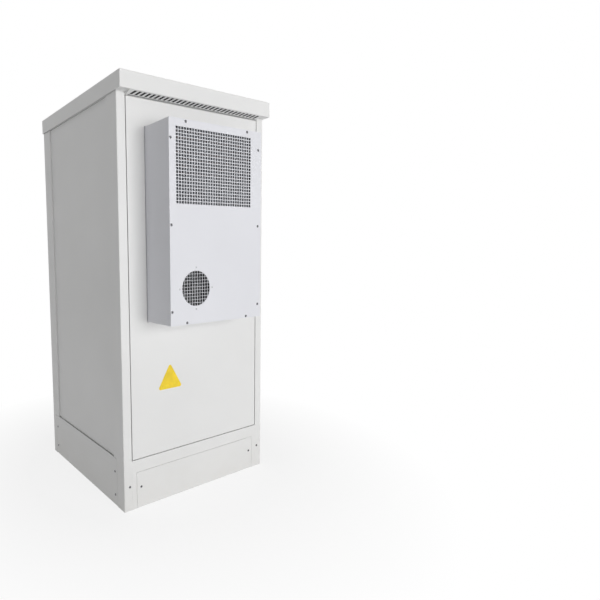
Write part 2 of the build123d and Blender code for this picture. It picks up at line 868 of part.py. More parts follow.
# Stiffening ring, crossbar over the cooling unit and bottom tabs, welded to the door
ring_left = gasket_low[0] + gasket_width + door_ring_gap
ring_bottom = gasket_low[1] + gasket_width + door_ring_gap
ring_right = body_width - ring_left
ring_top_up = gasket_high[1] - gasket_width - door_ring_gap
ring_back = sheet + door_ring_height
crossbar_up = ac_top + crossbar_gap
with BuildPart() as door_inner_frame:
    ring_corner_low = (ring_left, ring_bottom)
    ring_corner_high = (ring_right, ring_top_up)
    ring_leg = frame_sketch(elevation(ring_back), ring_corner_low, ring_corner_high, fine_sheet, fine_sheet)
    extrude(ring_leg, amount=door_ring_height)
    ring_flange = frame_sketch(
        elevation(ring_back), ring_corner_low, ring_corner_high, door_ring_width, door_ring_width
    )
    extrude(ring_flange, amount=fine_sheet)
    crossbar_line = [
        (sheet, crossbar_up),
        (ring_back, crossbar_up),
        (ring_back, crossbar_up + crossbar_height),
        (sheet, crossbar_up + crossbar_height),
    ]
    crossbar = folded_section(side(ring_left + fine_sheet), crossbar_line, fine_sheet, Side.LEFT)
    extrude(crossbar, amount=ring_right - ring_left - 2 * fine_sheet)
    for tab_across in tab_places:
        block(
            (tab_across - tab_width / 2, tab_across + tab_width / 2),
            (ring_back, ring_back + tab_reach),
            (ring_bottom, ring_bottom + fine_sheet),
        )
        block(
            (tab_across - tab_width / 2, tab_across + tab_width / 2),
            (ring_back + tab_reach - fine_sheet, ring_back + tab_reach),
            (ring_bottom, ring_bottom + tab_height),
        )
finish(door_inner_frame, "door_inner_frame")

# Inner panel under the cooling unit with a blanked round knock-out and four studs
liner_low = (ring_left + door_ring_width + liner_gap, ring_bottom + door_ring_width + liner_gap)
liner_high = (ring_right - door_ring_width - liner_gap, ac_bottom - ac_flange_end - liner_gap)
liner_back = sheet + liner_thickness
with BuildPart() as door_insulation_panel:
    with BuildSketch(elevation(liner_back)):
        span(liner_low, liner_high)
    extrude(amount=liner_thickness)
    with BuildSketch(elevation(liner_back)):
        with Locations((knockout_across, knockout_up)):
            Circle(knockout_radius)
            Circle(knockout_radius - knockout_groove, mode=Mode.SUBTRACT)
    extrude(amount=knockout_groove_depth, mode=Mode.SUBTRACT)
    with BuildSketch(elevation(liner_back)):
        with Locations((knockout_across, knockout_up)):
            with GridLocations(2 * stud_offset, 2 * stud_offset, 2, 2):
                Circle(stud_radius)
    extrude(amount=-stud_length)
finish(door_insulation_panel, "door_insulation_panel")

# Hinges: frame leaf with two knuckles on arms, door leaf with one knuckle, and a headed pin
hinge_bore_radius = hinge_pin_radius + running_clearance
arm_across = hinge_across + hinge_knuckle_radius - 1
foot_right = lip_left - panel_gap
with BuildPart() as hinge_frame_leaves:
    for hinge_up in hinge_heights:
        starts = (
            hinge_up - hinge_height / 2,
            hinge_up + hinge_height / 2 - frame_knuckle_length,
        )
        for start in starts:
            ends = (start, start + frame_knuckle_length)
            with BuildSketch(plan(start)):
                with Locations((hinge_across, hinge_deep)):
                    Circle(hinge_knuckle_radius)
                span((arm_across, hinge_deep), (arm_across + hinge_arm_thickness, rebate_depth))
                with Locations((hinge_across, hinge_deep)):
                    Circle(hinge_bore_radius, mode=Mode.SUBTRACT)
            extrude(amount=frame_knuckle_length)
        block(
            (arm_across, foot_right),
            (rebate_depth - sheet, rebate_depth),
            (hinge_up - hinge_height / 2, hinge_up + hinge_height / 2),
        )
finish(hinge_frame_leaves, "hinge_frame_leaves")

with BuildPart() as hinge_pins:
    for hinge_up in hinge_heights:
        top = hinge_up + hinge_height / 2
        with BuildSketch(plan(hinge_up - hinge_height / 2)):
            with Locations((hinge_across, hinge_deep)):
                Circle(hinge_pin_radius)
        extrude(amount=hinge_height)
        with BuildSketch(plan(top)):
            with Locations((hinge_across, hinge_deep)):
                Circle(pin_head_radius)
        extrude(amount=pin_head_height)
finish(hinge_pins, "hinge_pins")

with BuildPart() as hinge_door_leaves:
    for hinge_up in hinge_heights:
        with BuildSketch(plan(hinge_up - door_knuckle_length / 2)):
            with Locations((hinge_across, hinge_deep)):
                Circle(hinge_knuckle_radius)
            span((door_left + sheet, sheet), (gasket_low[0] - panel_gap, sheet + hinge_arm_thickness))
            with Locations((hinge_across, hinge_deep)):
                Circle(hinge_bore_radius, mode=Mode.SUBTRACT)
        extrude(amount=door_knuckle_length)
finish(hinge_door_leaves, "hinge_door_leaves")

# Cooling unit casing: four walls and the mounting flange
shell_front = -ac_front_reach + fine_sheet
shell_back = ac_back_reach - fine_sheet
ac_low = (ac_left, ac_bottom)
ac_high = (ac_right, ac_top)
casing_low = (ac_left + fine_sheet, ac_bottom + fine_sheet)
casing_high = (ac_right - fine_sheet, ac_top - fine_sheet)
flange_low = (ac_left - ac_flange_side, ac_bottom - ac_flange_end)
flange_high = (ac_right + ac_flange_side, ac_top + ac_flange_end)
flange_front = sheet + ac_seal
with BuildPart() as ac_shell:
    with BuildSketch(elevation(shell_back)):
        span(ac_low, ac_high)
    extrude(amount=shell_back - shell_front)
    fillet(ac_shell.edges().filter_by(Axis.Y), ac_edge_radius)
    with BuildSketch(elevation(shell_back)):
        span(casing_low, casing_high)
    extrude(amount=shell_back - shell_front, mode=Mode.SUBTRACT)
    flange = frame_sketch(
        elevation(flange_front + sheet),
        flange_low,
        flange_high,
        ac_flange_side + fine_sheet / 2,
        ac_flange_end + fine_sheet / 2,
    )
    extrude(flange, amount=sheet)
finish(ac_shell, "ac_shell")

# Inside the casing: the partition between outdoor and indoor air, and a frame behind each cover
with BuildPart() as ac_inner_frames:
    with BuildSketch(elevation(partition_deep + fine_sheet)):
        span(casing_low, casing_high)
    extrude(amount=fine_sheet)
    for frame_back in (shell_front + fine_sheet, shell_back):
        cover_frame = frame_sketch(elevation(frame_back), casing_low, casing_high, cover_lip, cover_lip)
        extrude(cover_frame, amount=fine_sheet)
finish(ac_inner_frames, "ac_inner_frames")

with BuildPart() as ac_gasket:
    seal = frame_sketch(
        elevation(flange_front),
        flange_low,
        flange_high,
        ac_flange_side - ac_cutout_gap,
        ac_flange_end - ac_cutout_gap,
    )
    extrude(seal, amount=ac_seal)
finish(ac_gasket, "ac_gasket")

# Front cover with the condenser intake window and the round fan outlet
intake_low = (ac_left + intake_inset_left, ac_bottom + intake_rise)
intake_high = (ac_right - intake_inset_right, ac_top - intake_inset_top)
intake_width = intake_high[0] - intake_low[0]
intake_height = intake_high[1] - intake_low[1]
with BuildPart() as ac_front_cover:
    with BuildSketch(elevation(shell_front)):
        span(ac_low, ac_high)
        span(intake_low, intake_high, mode=Mode.SUBTRACT)
        with Locations((fan_grille_across, fan_grille_up)):
            Circle(fan_grille_radius, mode=Mode.SUBTRACT)
    extrude(amount=fine_sheet)
    outline_corners = ac_front_cover.edges().filter_by(Axis.Y).filter_by(
        lambda edge: edge.center().X - left < ac_left + 1 or edge.center().X - left > ac_right - 1
    )
    fillet(outline_corners, ac_edge_radius)
finish(ac_front_cover, "ac_front_cover")

# Intake grille: two crossed layers of flat bars, flush with the cover, at twice the real pitch
layer = fine_sheet / 2
intake_middle = ((intake_low[0] + intake_high[0]) / 2, (intake_low[1] + intake_high[1]) / 2)
column_pitch = (intake_width + grille_bar) / intake_columns
row_pitch_intake = (intake_height + grille_bar) / intake_rows
with BuildPart() as ac_intake_grille:
    with BuildSketch(elevation(shell_front - layer)):
        with Locations(intake_middle):
            with GridLocations(1, row_pitch_intake, 1, intake_rows - 1):
                Rectangle(intake_width, grille_bar)
    extrude(amount=layer)
    with BuildSketch(elevation(shell_front)):
        with Locations(intake_middle):
            with GridLocations(column_pitch, 1, intake_columns - 1, 1):
                Rectangle(grille_bar, intake_height)
    extrude(amount=layer)
finish(ac_intake_grille, "ac_intake_grille")

# Round outlet grille: the same crossed bars, cut to the circle
cell_pitch = 2 * fan_grille_radius / fan_grille_cells
with BuildPart() as ac_fan_grille:
    for deep, across_count, up_count, bar in (
        (shell_front - layer, 1, fan_grille_cells - 1, (2 * fan_grille_radius, grille_bar)),
        (shell_front, fan_grille_cells - 1, 1, (grille_bar, 2 * fan_grille_radius)),
    ):
        with BuildSketch(elevation(deep)):
            with Locations((fan_grille_across, fan_grille_up)):
                with GridLocations(cell_pitch, cell_pitch, across_count, up_count):
                    Rectangle(*bar)
                Circle(fan_grille_radius, mode=Mode.INTERSECT)
        extrude(amount=layer)
finish(ac_fan_grille, "ac_fan_grille")

# Inner cover with the round return grille and the supply louvre
supply_low = (ac_left + supply_inset_left, ac_bottom + supply_rise)
supply_width = ac_right - supply_inset_right - supply_low[0]
supply_middle = (supply_low[0] + supply_width / 2, supply_low[1] + supply_height / 2)
supply_pitch_across = supply_width / supply_columns
supply_pitch_up = supply_height / supply_rows
inner_pitch = 2 * fan_grille_radius / inner_slot_rows
with BuildPart() as ac_inner_cover:
    with BuildSketch(elevation(ac_back_reach)):
        span(ac_low, ac_high)
        with Locations(supply_middle):
            with GridLocations(supply_pitch_across, supply_pitch_up, supply_columns, supply_rows):
                Rectangle(supply_pitch_across - supply_slot_gap, supply_slot_height, mode=Mode.SUBTRACT)
        for row in range(inner_slot_rows):
            row_up = (row - (inner_slot_rows - 1) / 2) * inner_pitch
            chord = 2 * (fan_grille_radius**2 - (abs(row_up) + inner_slot_height / 2) ** 2) ** 0.5
            half_slot = chord / 2 - supply_slot_gap / 2
            for hand in (-1, 1):
                middle = inner_fan_across + hand * (half_slot + supply_slot_gap) / 2
                with Locations((middle, inner_fan_up + row_up)):
                    Rectangle(half_slot, inner_slot_height, mode=Mode.SUBTRACT)
    extrude(amount=fine_sheet)
finish(ac_inner_cover, "ac_inner_cover")

# Fan shroud with three struts and a motor can, seated with its open side at height zero
with BuildPart() as shroud:
    with BuildSketch(Plane.XY):
        Circle(shroud_radius + shroud_wall)
        Circle(shroud_radius, mode=Mode.SUBTRACT)
    extrude(amount=shroud_depth)
    with BuildSketch(Plane.XY.offset(shroud_depth - sheet)):
        with PolarLocations(shroud_radius / 2, 3, start_angle=90):
            Rectangle(shroud_radius + shroud_wall, strut_width)
    extrude(amount=sheet)
    with BuildSketch(Plane.XY.offset(shroud_depth - motor_length)):
        Circle(motor_radius)
    extrude(amount=motor_length)
    chamfer(shroud.faces().filter_by(Plane.XY).sort_by(Axis.Z)[1].outer_wire().edges(), sheet)
    with BuildSketch(Plane.XY.offset(shroud_depth - motor_length)):
        Circle(fan_shaft_radius + running_clearance)
    extrude(amount=fan_shaft_seat + fan_front_gap, mode=Mode.SUBTRACT)

# One twisted blade, from inside the hub out to the tip
blade_middle = fan_front_gap + hub_length / 2
with BuildPart() as fan_blade:
    for blade_radius, pitch in (
        (fan_hub_radius - blade_root_depth, blade_root_pitch),
        (fan_radius, blade_tip_pitch),
    ):
        chord_line = (0, cos(radians(pitch)), sin(radians(pitch)))
        with BuildSketch(Plane(origin=(blade_radius, 0, blade_middle), x_dir=chord_line, z_dir=(1, 0, 0))):
            Rectangle(blade_chord, blade_thickness)
    loft(ruled=True)

# Hub with its shaft and the ring of blades
motor_start = shroud_depth - motor_length
with BuildPart() as rotor:
    with BuildSketch(Plane.XY.offset(fan_front_gap)):
        Circle(fan_hub_radius)
    extrude(amount=hub_length)
    chamfer(rotor.faces().sort_by(Axis.Z)[0].edges(), sheet)
    with BuildSketch(Plane.XY.offset(fan_front_gap + hub_length)):
        Circle(fan_shaft_radius)
    extrude(amount=motor_start + fan_shaft_seat - fan_front_gap - hub_length)
    for blade in range(fan_blades):
        add(fan_blade.part.rotate(Axis.Z, 360 * blade / fan_blades))

outlet_fan_seat = Plane(
    origin=(left + fan_grille_across, front + shell_front, fan_grille_up), x_dir=(1, 0, 0), z_dir=(0, 1, 0)
)
return_fan_seat = Plane(
    origin=(left + inner_fan_across, front + shell_back, inner_fan_up), x_dir=(1, 0, 0), z_dir=(0, -1, 0)
)
with BuildPart() as fan_motors:
    add(shroud.part.moved(outlet_fan_seat.location))
    add(shroud.part.moved(return_fan_seat.location))
finish(fan_motors, "fan_motors")

with BuildPart() as condenser_fan:
    add(rotor.part.moved(outlet_fan_seat.location))
finish(condenser_fan, "condenser_fan")

with BuildPart() as evaporator_fan:
    add(rotor.part.moved(return_fan_seat.location))
finish(evaporator_fan, "evaporator_fan")

# Finned coils: upright fins on a tube block that spans the casing from wall to wall
condenser_low = (intake_low[0] - coil_margin, intake_low[1] - coil_margin)
condenser_high = (intake_high[0] + coil_margin, intake_high[1] + coil_margin)
condenser_fins = shell_front + coil_setback
condenser_core = condenser_fins + fin_depth
with BuildPart() as condenser_coil:
    with BuildSketch(plan(condenser_low[1])):
        fin_count = int((condenser_high[0] - condenser_low[0]) // fin_pitch)
        fin_middle = ((condenser_low[0] + condenser_high[0]) / 2, (condenser_fins + condenser_core) / 2)
        with Locations(fin_middle):
            with GridLocations(fin_pitch, 1, fin_count, 1):
                Rectangle(fin_thickness, fin_depth)
        span((casing_low[0], condenser_core), (casing_high[0], condenser_core + coil_core))
    extrude(amount=condenser_high[1] - condenser_low[1])
finish(condenser_coil, "condenser_coil")

evaporator_low = (supply_low[0] - coil_margin, supply_low[1] - coil_margin)
evaporator_high = (supply_low[0] + supply_width + coil_margin, supply_low[1] + supply_height + coil_margin)
evaporator_fins = shell_back - coil_setback
evaporator_core = evaporator_fins - fin_depth
with BuildPart() as evaporator_coil:
    with BuildSketch(plan(evaporator_low[1])):
        fin_count = int((evaporator_high[0] - evaporator_low[0]) // fin_pitch)
        fin_middle = ((evaporator_low[0] + evaporator_high[0]) / 2, (evaporator_fins + evaporator_core) / 2)
        with Locations(fin_middle):
            with GridLocations(fin_pitch, 1, fin_count, 1):
                Rectangle(fin_thickness, fin_depth)
        span((casing_low[0], evaporator_core - coil_core), (casing_high[0], evaporator_core))
    extrude(amount=evaporator_high[1] - evaporator_low[1])
finish(evaporator_coil, "evaporator_coil")

# Compressor can on its foot plate
compressor_deep = (shell_front + partition_deep) / 2
compressor_floor = ac_bottom + fine_sheet
compressor_can_up = compressor_floor + compressor_foot
with BuildPart() as compressor:
    with BuildSketch(plan(compressor_floor)):
        with Locations((compressor_across, compressor_deep)):
            Rectangle(compressor_foot_width, compressor_foot_width)
    extrude(amount=compressor_foot)
    fillet(compressor.edges().filter_by(Axis.Z), compressor_foot)
    with BuildSketch(plan(compressor_can_up)):
        with Locations((compressor_across, compressor_deep)):
            Circle(compressor_radius)
    extrude(amount=compressor_height)
    chamfer(compressor.faces().sort_by(Axis.Z)[-1].edges(), compressor_radius / 3)
finish(compressor, "compressor")

# Controller with a recessed screen and three keys, and the plug-in terminals
controller_back = ac_back_reach + controller_depth
controller_right = controller_left + controller_width
controller_top = controller_up + controller_height
with BuildPart() as ac_controller:
    controller_deep = (ac_back_reach, controller_back)
    block((controller_left, controller_right), controller_deep, (controller_up, controller_top))
    with BuildSketch(elevation(controller_back)):
        span(
            (controller_left + screen_margin, controller_top - screen_margin - screen_height),
            (controller_right - screen_margin, controller_top - screen_margin),
        )
    extrude(amount=screen_depth, mode=Mode.SUBTRACT)
    with BuildSketch(elevation(controller_back)):
        keys_up = controller_up + (controller_height - screen_height - screen_margin) / 2
        with Locations((controller_left + controller_width / 2, keys_up)):
            with GridLocations(2 * key_size, 1, 3, 1):
                Rectangle(key_size, key_size)
    extrude(amount=-key_height)
finish(ac_controller, "ac_controller")

with BuildPart() as ac_terminals:
    for place in terminal_places:
        block(
            (place[0] - terminal_size[0] / 2, place[0] + terminal_size[0] / 2),
            (ac_back_reach, ac_back_reach + terminal_size[1]),
            (place[1] - terminal_size[2] / 2, place[1] + terminal_size[2] / 2),
        )
        with BuildSketch(elevation(ac_back_reach + terminal_size[1])):
            with Locations(place):
                with GridLocations(terminal_size[0] / terminal_ways, 1, terminal_ways, 1):
                    Rectangle(terminal_way, terminal_way)
        extrude(amount=terminal_size[1] / 2, mode=Mode.SUBTRACT)
finish(ac_terminals, "ac_terminals")

# Handle plate on the door front, with two ears for the lever and a slot for its cheeks
ear_inner = cheek_width / 2 + handle_ear_gap
pivot_deep = -handle_pivot_front
with BuildPart() as handle_base:
    block(
        (lock_across - base_width / 2, lock_across + base_width / 2),
        (-base_thickness, 0),
        (base_bottom, base_top),
    )
    fillet(handle_base.edges().filter_by(Axis.Y), base_corner_radius)
    chamfer(handle_base.faces().sort_by(Axis.Y)[0].edges(), fine_sheet)
    with BuildSketch(elevation(0)):
        span(slot_low, slot_high)
    extrude(amount=base_thickness, mode=Mode.SUBTRACT)
    for ear_start in (lock_across - ear_inner - handle_ear, lock_across + ear_inner):
        with BuildSketch(side(ear_start)):
            with Locations((pivot_deep, handle_pivot_up)):
                Circle(handle_ear_radius)
        extrude(amount=handle_ear)
    with BuildSketch(side(lock_across)):
        with Locations((pivot_deep, handle_pivot_up)):
            Circle(handle_pin_radius + running_clearance)
    extrude(amount=base_width / 2, both=True, mode=Mode.SUBTRACT)
finish(handle_base, "handle_base")

# Lever, drawn lifted: one axis runs down along it, the other points out of its front
lift = radians(handle_lift)
lever_down = Vector(0, -sin(lift), -cos(lift))
lever_out = Vector(0, -cos(lift), sin(lift))
pivot_point = Vector(left + lock_across, front + pivot_deep, handle_pivot_up)
lever_profile = Plane(origin=pivot_point, x_dir=lever_down, z_dir=(-1, 0, 0))
lever_back_out = handle_pivot_front - base_thickness - handle_back_gap
lever_back = -lever_back_out
lever_front = lever_back + handle_thickness


def lever_surface(along, out):
    """Drawing plane parallel to the lever's front, at a distance down the lever and out from the pivot."""
    return Plane(origin=pivot_point + lever_down * along + lever_out * out, x_dir=(1, 0, 0), z_dir=lever_out)


flap_axis_out = lever_front + touch_gap + flap_barrel_radius
flap_ear_inner = flap_width / 2 + touch_gap
with BuildPart() as handle_lever:
    with BuildSketch(lever_profile):
        span((handle_neck_length, lever_back), (handle_length, lever_front))
    extrude(amount=handle_width / 2, both=True)
    lever_corners = handle_lever.faces().sort_by_distance(pivot_point)[-1].edges().filter_by(
        lambda edge: abs(edge.tangent_at(0).X) < 0.5
    )
    fillet(lever_corners, handle_corner_radius)
    with BuildSketch(lever_profile):
        Circle(handle_hub_radius)
        span((0, lever_back), (handle_neck_length, lever_front))
    extrude(amount=cheek_width / 2, both=True)
    with BuildSketch(lever_profile):
        Circle(handle_pin_radius)
    extrude(amount=ear_inner + handle_ear, both=True)
    for hand in (-1, 1):
        cheek_plane = lever_profile.offset(hand * (cheek_width - cheek_plate) / 2)
        with BuildSketch(cheek_plane):
            with BuildLine():
                arc_end = (
                    cheek_radius * cos(radians(cheek_angle)),
                    -cheek_radius * sin(radians(cheek_angle)),
                )
                Line((0, 0), (cheek_radius, 0))
                CenterArc((0, 0), cheek_radius, 0, -cheek_angle)
                Line(arc_end, (0, 0))
            make_face()
        extrude(amount=cheek_plate / 2, both=True)
        with BuildSketch(lever_profile.offset(hand * (flap_ear_inner + handle_width / 2) / 2)):
            with Locations((flap_hinge_offset, flap_axis_out)):
                Circle(flap_barrel_radius)
            span(
                (flap_hinge_offset - flap_barrel_radius, lever_front),
                (flap_hinge_offset + flap_barrel_radius, flap_axis_out),
            )
            with Locations((flap_hinge_offset, flap_axis_out)):
                Circle(flap_pin_radius + running_clearance, mode=Mode.SUBTRACT)
        extrude(amount=(handle_width / 2 - flap_ear_inner) / 2, both=True)
    with BuildSketch(lever_surface(cylinder_offset, lever_back)):
        Circle(cylinder_radius)
    extrude(amount=handle_thickness, mode=Mode.SUBTRACT)
finish(handle_lever, "handle_lever")

with BuildPart() as lock_cylinder:
    with BuildSketch(lever_surface(cylinder_offset, lever_back)):
        Circle(cylinder_radius)
    extrude(amount=handle_thickness)
    with BuildSketch(lever_surface(cylinder_offset, lever_front)):
        Rectangle(*key_slot)
    extrude(amount=-key_slot_depth, mode=Mode.SUBTRACT)
finish(lock_cylinder, "lock_cylinder")

with BuildPart() as key_flap:
    with BuildSketch(lever_profile):
        with Locations((flap_hinge_offset, flap_axis_out)):
            Circle(flap_barrel_radius)
        span(
            (flap_hinge_offset, flap_axis_out - flap_barrel_radius),
            (flap_hinge_offset + flap_length, flap_axis_out - flap_barrel_radius + flap_thickness),
        )
    extrude(amount=flap_width / 2, both=True)
    with BuildSketch(lever_profile):
        with Locations((flap_hinge_offset, flap_axis_out)):
            Circle(flap_pin_radius)
    extrude(amount=handle_width / 2, both=True)
finish(key_flap, "key_flap")

# Hollow housing behind the door skin that takes the cheeks when the lever is pressed flat
housing_back = sheet + housing_depth
with BuildPart() as lock_housing:
    with BuildSketch(elevation(housing_back)):
        with Locations((lock_across, (housing_bottom + housing_top) / 2)):
            Rectangle(housing_width, housing_top - housing_bottom)
    extrude(amount=housing_depth)
    fillet(lock_housing.edges().filter_by(Axis.Y), housing_corner_radius)
    chamfer(lock_housing.faces().sort_by(Axis.Y)[-1].edges(), sheet)
    with BuildSketch(elevation(housing_back - housing_wall)):
        with Locations((lock_across, (housing_bottom + housing_top) / 2)):
            Rectangle(
                housing_width - 2 * housing_wall,
                housing_top - housing_bottom - 2 * housing_wall,
            )
    extrude(amount=housing_depth - housing_wall, mode=Mode.SUBTRACT)
finish(lock_housing, "lock_housing")

# Rod drive: one pinion between two facing racks moves the upper rod up and the lower rod down
pitch_radius = gear_module * gear_teeth / 2
involute_radius = pitch_radius * cos(radians(pressure_angle))
pinion_tip = pitch_radius + pinion_addendum
pinion_root = pitch_radius - rack_addendum - tooth_bottom_gap
tooth_pitch = pi * gear_module
tooth_thickness = (tooth_pitch - tooth_backlash) / 2
gear_front = rod_deep - gear_width / 2
gear_back = rod_deep + gear_width / 2


def involute_angle(radius):
    """Polar angle of the involute at a radius, from its start on the base circle."""
    roll = acos(involute_radius / radius)
    return tan(roll) - roll


def pinion_points():
    """Outline of the pinion with a gap between two teeth on the first axis."""
    points = []
    steps = 4
    flank = [involute_radius + (pinion_tip - involute_radius) * step / steps for step in range(steps + 1)]
    half_at_pitch = tooth_thickness / 2 / pitch_radius + involute_angle(pitch_radius)
    for tooth in range(gear_teeth):
        middle = (tooth + 0.5) * 2 * pi / gear_teeth
        rising = [(pinion_root, half_at_pitch)] + [(r, half_at_pitch - involute_angle(r)) for r in flank]
        for radius, half in rising:
            points.append((radius * cos(middle - half), radius * sin(middle - half)))
        for radius, half in reversed(rising):
            points.append((radius * cos(middle + half), radius * sin(middle + half)))
    return points


def rack_points(hand):
    """Outline of a rack on one side of the pinion, with a tooth level with the pinion's centre."""
    half_tip = tooth_thickness / 2 - rack_addendum * tan(radians(pressure_angle))
    rack_dedendum = pinion_addendum + tooth_bottom_gap
    half_root = tooth_thickness / 2 + rack_dedendum * tan(radians(pressure_angle))
    tip = hand * (pitch_radius - rack_addendum)
    root = hand * (pitch_radius + rack_dedendum)
    back = hand * (pitch_radius + rack_dedendum + rack_back)
    reach = rack_teeth * tooth_pitch / 2
    points = [(back, -reach), (root, -reach)]
    for tooth in range(rack_teeth):
        middle = (tooth - (rack_teeth - 1) / 2) * tooth_pitch
        points += [(root, middle - half_root), (tip, middle - half_tip)]
        points += [(tip, middle + half_tip), (root, middle + half_root)]
    points += [(root, reach), (back, reach)]
    return [(lock_across + x, gear_up + z) for x, z in points]


with BuildPart() as rod_pinion:
    with BuildSketch(elevation(gear_back)):
        with BuildLine():
            Polyline(*[(lock_across + x, gear_up + z) for x, z in pinion_points()], close=True)
        make_face()
    extrude(amount=gear_width)
    with BuildSketch(elevation(gear_back + gear_hub_height)):
        with Locations((lock_across, gear_up)):
            Circle(gear_hub_radius)
    extrude(amount=gear_hub_height)
    with BuildSketch(elevation(gear_front)):
        with Locations((lock_across, gear_up)):
            Circle(gear_shaft_radius)
    extrude(amount=gear_shaft_seat)
finish(rod_pinion, "rod_pinion")

rack_reach = rack_teeth * tooth_pitch / 2
top_rod_end = opening_top - rod_end_gap
bottom_rod_end = opening_bottom + rod_end_gap
with BuildPart() as top_lock_rod:
    with BuildSketch(elevation(gear_back)):
        with BuildLine():
            Polyline(*rack_points(1), close=True)
        make_face()
    extrude(amount=gear_width)
    with BuildSketch(plan(gear_up + rack_reach)):
        with Locations((top_rod_across, rod_deep)):
            Circle(rod_radius)
    extrude(amount=top_rod_end - gear_up - rack_reach)
    chamfer(top_lock_rod.faces().sort_by(Axis.Z)[-1].edges(), rod_radius / 4)
finish(top_lock_rod, "top_lock_rod")

with BuildPart() as bottom_lock_rod:
    with BuildSketch(elevation(gear_back)):
        with BuildLine():
            Polyline(*rack_points(-1), close=True)
        make_face()
    extrude(amount=gear_width)
    with BuildSketch(plan(bottom_rod_end)):
        with Locations((bottom_rod_across, rod_deep)):
            Circle(rod_radius)
    extrude(amount=gear_up - rack_reach - bottom_rod_end)
    chamfer(bottom_lock_rod.faces().sort_by(Axis.Z)[0].edges(), rod_radius / 4)
finish(bottom_lock_rod, "bottom_lock_rod")

# Open gear case on a boss behind the door skin, slotted for the two racks
case_plate_back = gear_front - touch_gap
case_plate_front = case_plate_back - gear_case_plate
rack_slot_inner = pitch_radius - rack_addendum - gear_slot_margin
rack_slot_outer = top_rod_across - lock_across + rod_radius + gear_slot_margin
with BuildPart() as lock_gear_case:
    with BuildSketch(elevation(case_plate_front)):
        with Locations((lock_across, gear_up)):
            Circle(gear_boss_radius)
    extrude(amount=case_plate_front - sheet)
    with BuildSketch(elevation(case_plate_back)):
        with Locations((lock_across, gear_up)):
            Circle(gear_case_radius)
    extrude(amount=gear_case_plate)
    with BuildSketch(elevation(gear_back + gear_case_rim)):
        with Locations((lock_across, gear_up)):
            Circle(gear_case_radius)
            Circle(gear_case_radius - gear_case_wall, mode=Mode.SUBTRACT)
        for hand in (-1, 1):
            slot_middle = lock_across + hand * (rack_slot_inner + rack_slot_outer) / 2
            with Locations((slot_middle, gear_up)):
                Rectangle(rack_slot_outer - rack_slot_inner, 2 * gear_case_radius, mode=Mode.SUBTRACT)
    extrude(amount=gear_back + gear_case_rim - case_plate_back)
    with BuildSketch(elevation(case_plate_back)):
        with Locations((lock_across, gear_up)):
            Circle(gear_shaft_radius + running_clearance)
    extrude(amount=gear_shaft_seat, mode=Mode.SUBTRACT)
finish(lock_gear_case, "lock_gear_case")

# Eye brackets that guide the rods along the door
guide_half = rod_radius + rod_clearance + guide_margin
with BuildPart() as rod_guides:
    for rod_across, foot_deep, heights in (
        (top_rod_across, sheet, top_guide_heights),
        (bottom_rod_across, liner_back, bottom_guide_heights),
    ):
        for guide_up in heights:
            with BuildSketch(plan(guide_up)):
                span((rod_across - guide_half, foot_deep), (rod_across + guide_half, rod_deep))
                with Locations((rod_across, rod_deep)):
                    Circle(guide_half)
                    Circle(rod_radius + rod_clearance, mode=Mode.SUBTRACT)
            extrude(amount=guide_thickness)
            block(
                (rod_across - guide_half, rod_across + guide_half),
                (foot_deep, foot_deep + guide_thickness),
                (guide_up - guide_foot, guide_up),
            )
finish(rod_guides, "rod_guides")
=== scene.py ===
"""Roadside equipment cabinet: finishes, fine sheet metal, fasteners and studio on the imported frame.

Blender's own lengths are metres, in the frame's axes: the front faces -Y, +Z is up, and the origin
is the centre of the footprint at ground level. Shapes are drawn in millimetres from the body's
front left bottom corner: across to the right, deep to the rear, up from the ground.
"""

import json
from math import cos, dist, pi, radians, sin

import bmesh
import bpy
from bpy.props import FloatProperty, FloatVectorProperty, IntProperty, PointerProperty
from mathutils import Matrix, Vector


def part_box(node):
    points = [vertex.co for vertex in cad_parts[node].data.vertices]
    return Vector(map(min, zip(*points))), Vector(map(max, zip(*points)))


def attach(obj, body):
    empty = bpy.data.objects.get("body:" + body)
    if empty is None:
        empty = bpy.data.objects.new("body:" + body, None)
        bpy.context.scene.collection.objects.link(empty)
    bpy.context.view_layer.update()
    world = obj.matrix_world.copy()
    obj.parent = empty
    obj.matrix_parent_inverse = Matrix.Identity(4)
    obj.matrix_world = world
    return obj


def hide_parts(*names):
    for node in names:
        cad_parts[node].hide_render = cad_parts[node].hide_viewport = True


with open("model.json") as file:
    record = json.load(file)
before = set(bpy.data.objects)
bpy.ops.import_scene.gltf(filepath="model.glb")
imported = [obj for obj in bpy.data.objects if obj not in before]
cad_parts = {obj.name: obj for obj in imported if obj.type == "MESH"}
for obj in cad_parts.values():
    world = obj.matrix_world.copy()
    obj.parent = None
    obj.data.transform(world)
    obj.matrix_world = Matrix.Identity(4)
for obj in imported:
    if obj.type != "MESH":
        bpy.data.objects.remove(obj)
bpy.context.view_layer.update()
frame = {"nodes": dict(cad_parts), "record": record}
NODES = frame["nodes"]
SLOT_OF = {part["node"]: part["material_slot"] for part in frame["record"]["subparts"]}

bl_info = {
    "name": "Equipment cabinet dressing",
    "version": (1, 0, 0),
    "blender": (4, 5, 0),
    "location": "3D View > Sidebar > Cabinet",
    "description": "Finishes, punched sheets, fasteners and studio for the packed cabinet",
    "category": "Object",
}

MM = 0.001
CORNER = Vector((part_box("front_left_post")[0].x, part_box("front_left_post")[0].y, 0.0))
FORWARD, REARWARD, LEFTWARD, RIGHTWARD = (0, -1, 0), (0, 1, 0), (-1, 0, 0), (1, 0, 0)
WHITE = (1.0, 1.0, 1.0, 1.0)
FINISH = {}


def on_body(across, deep, up):
    """Point in metres for a place in millimetres from the body's front left bottom corner."""
    return CORNER + Vector((across, deep, up)) * MM


def box_mm(node_name):
    """Lowest and highest corner of a CAD node as places on the body."""
    return tuple((corner - CORNER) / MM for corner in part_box(node_name))


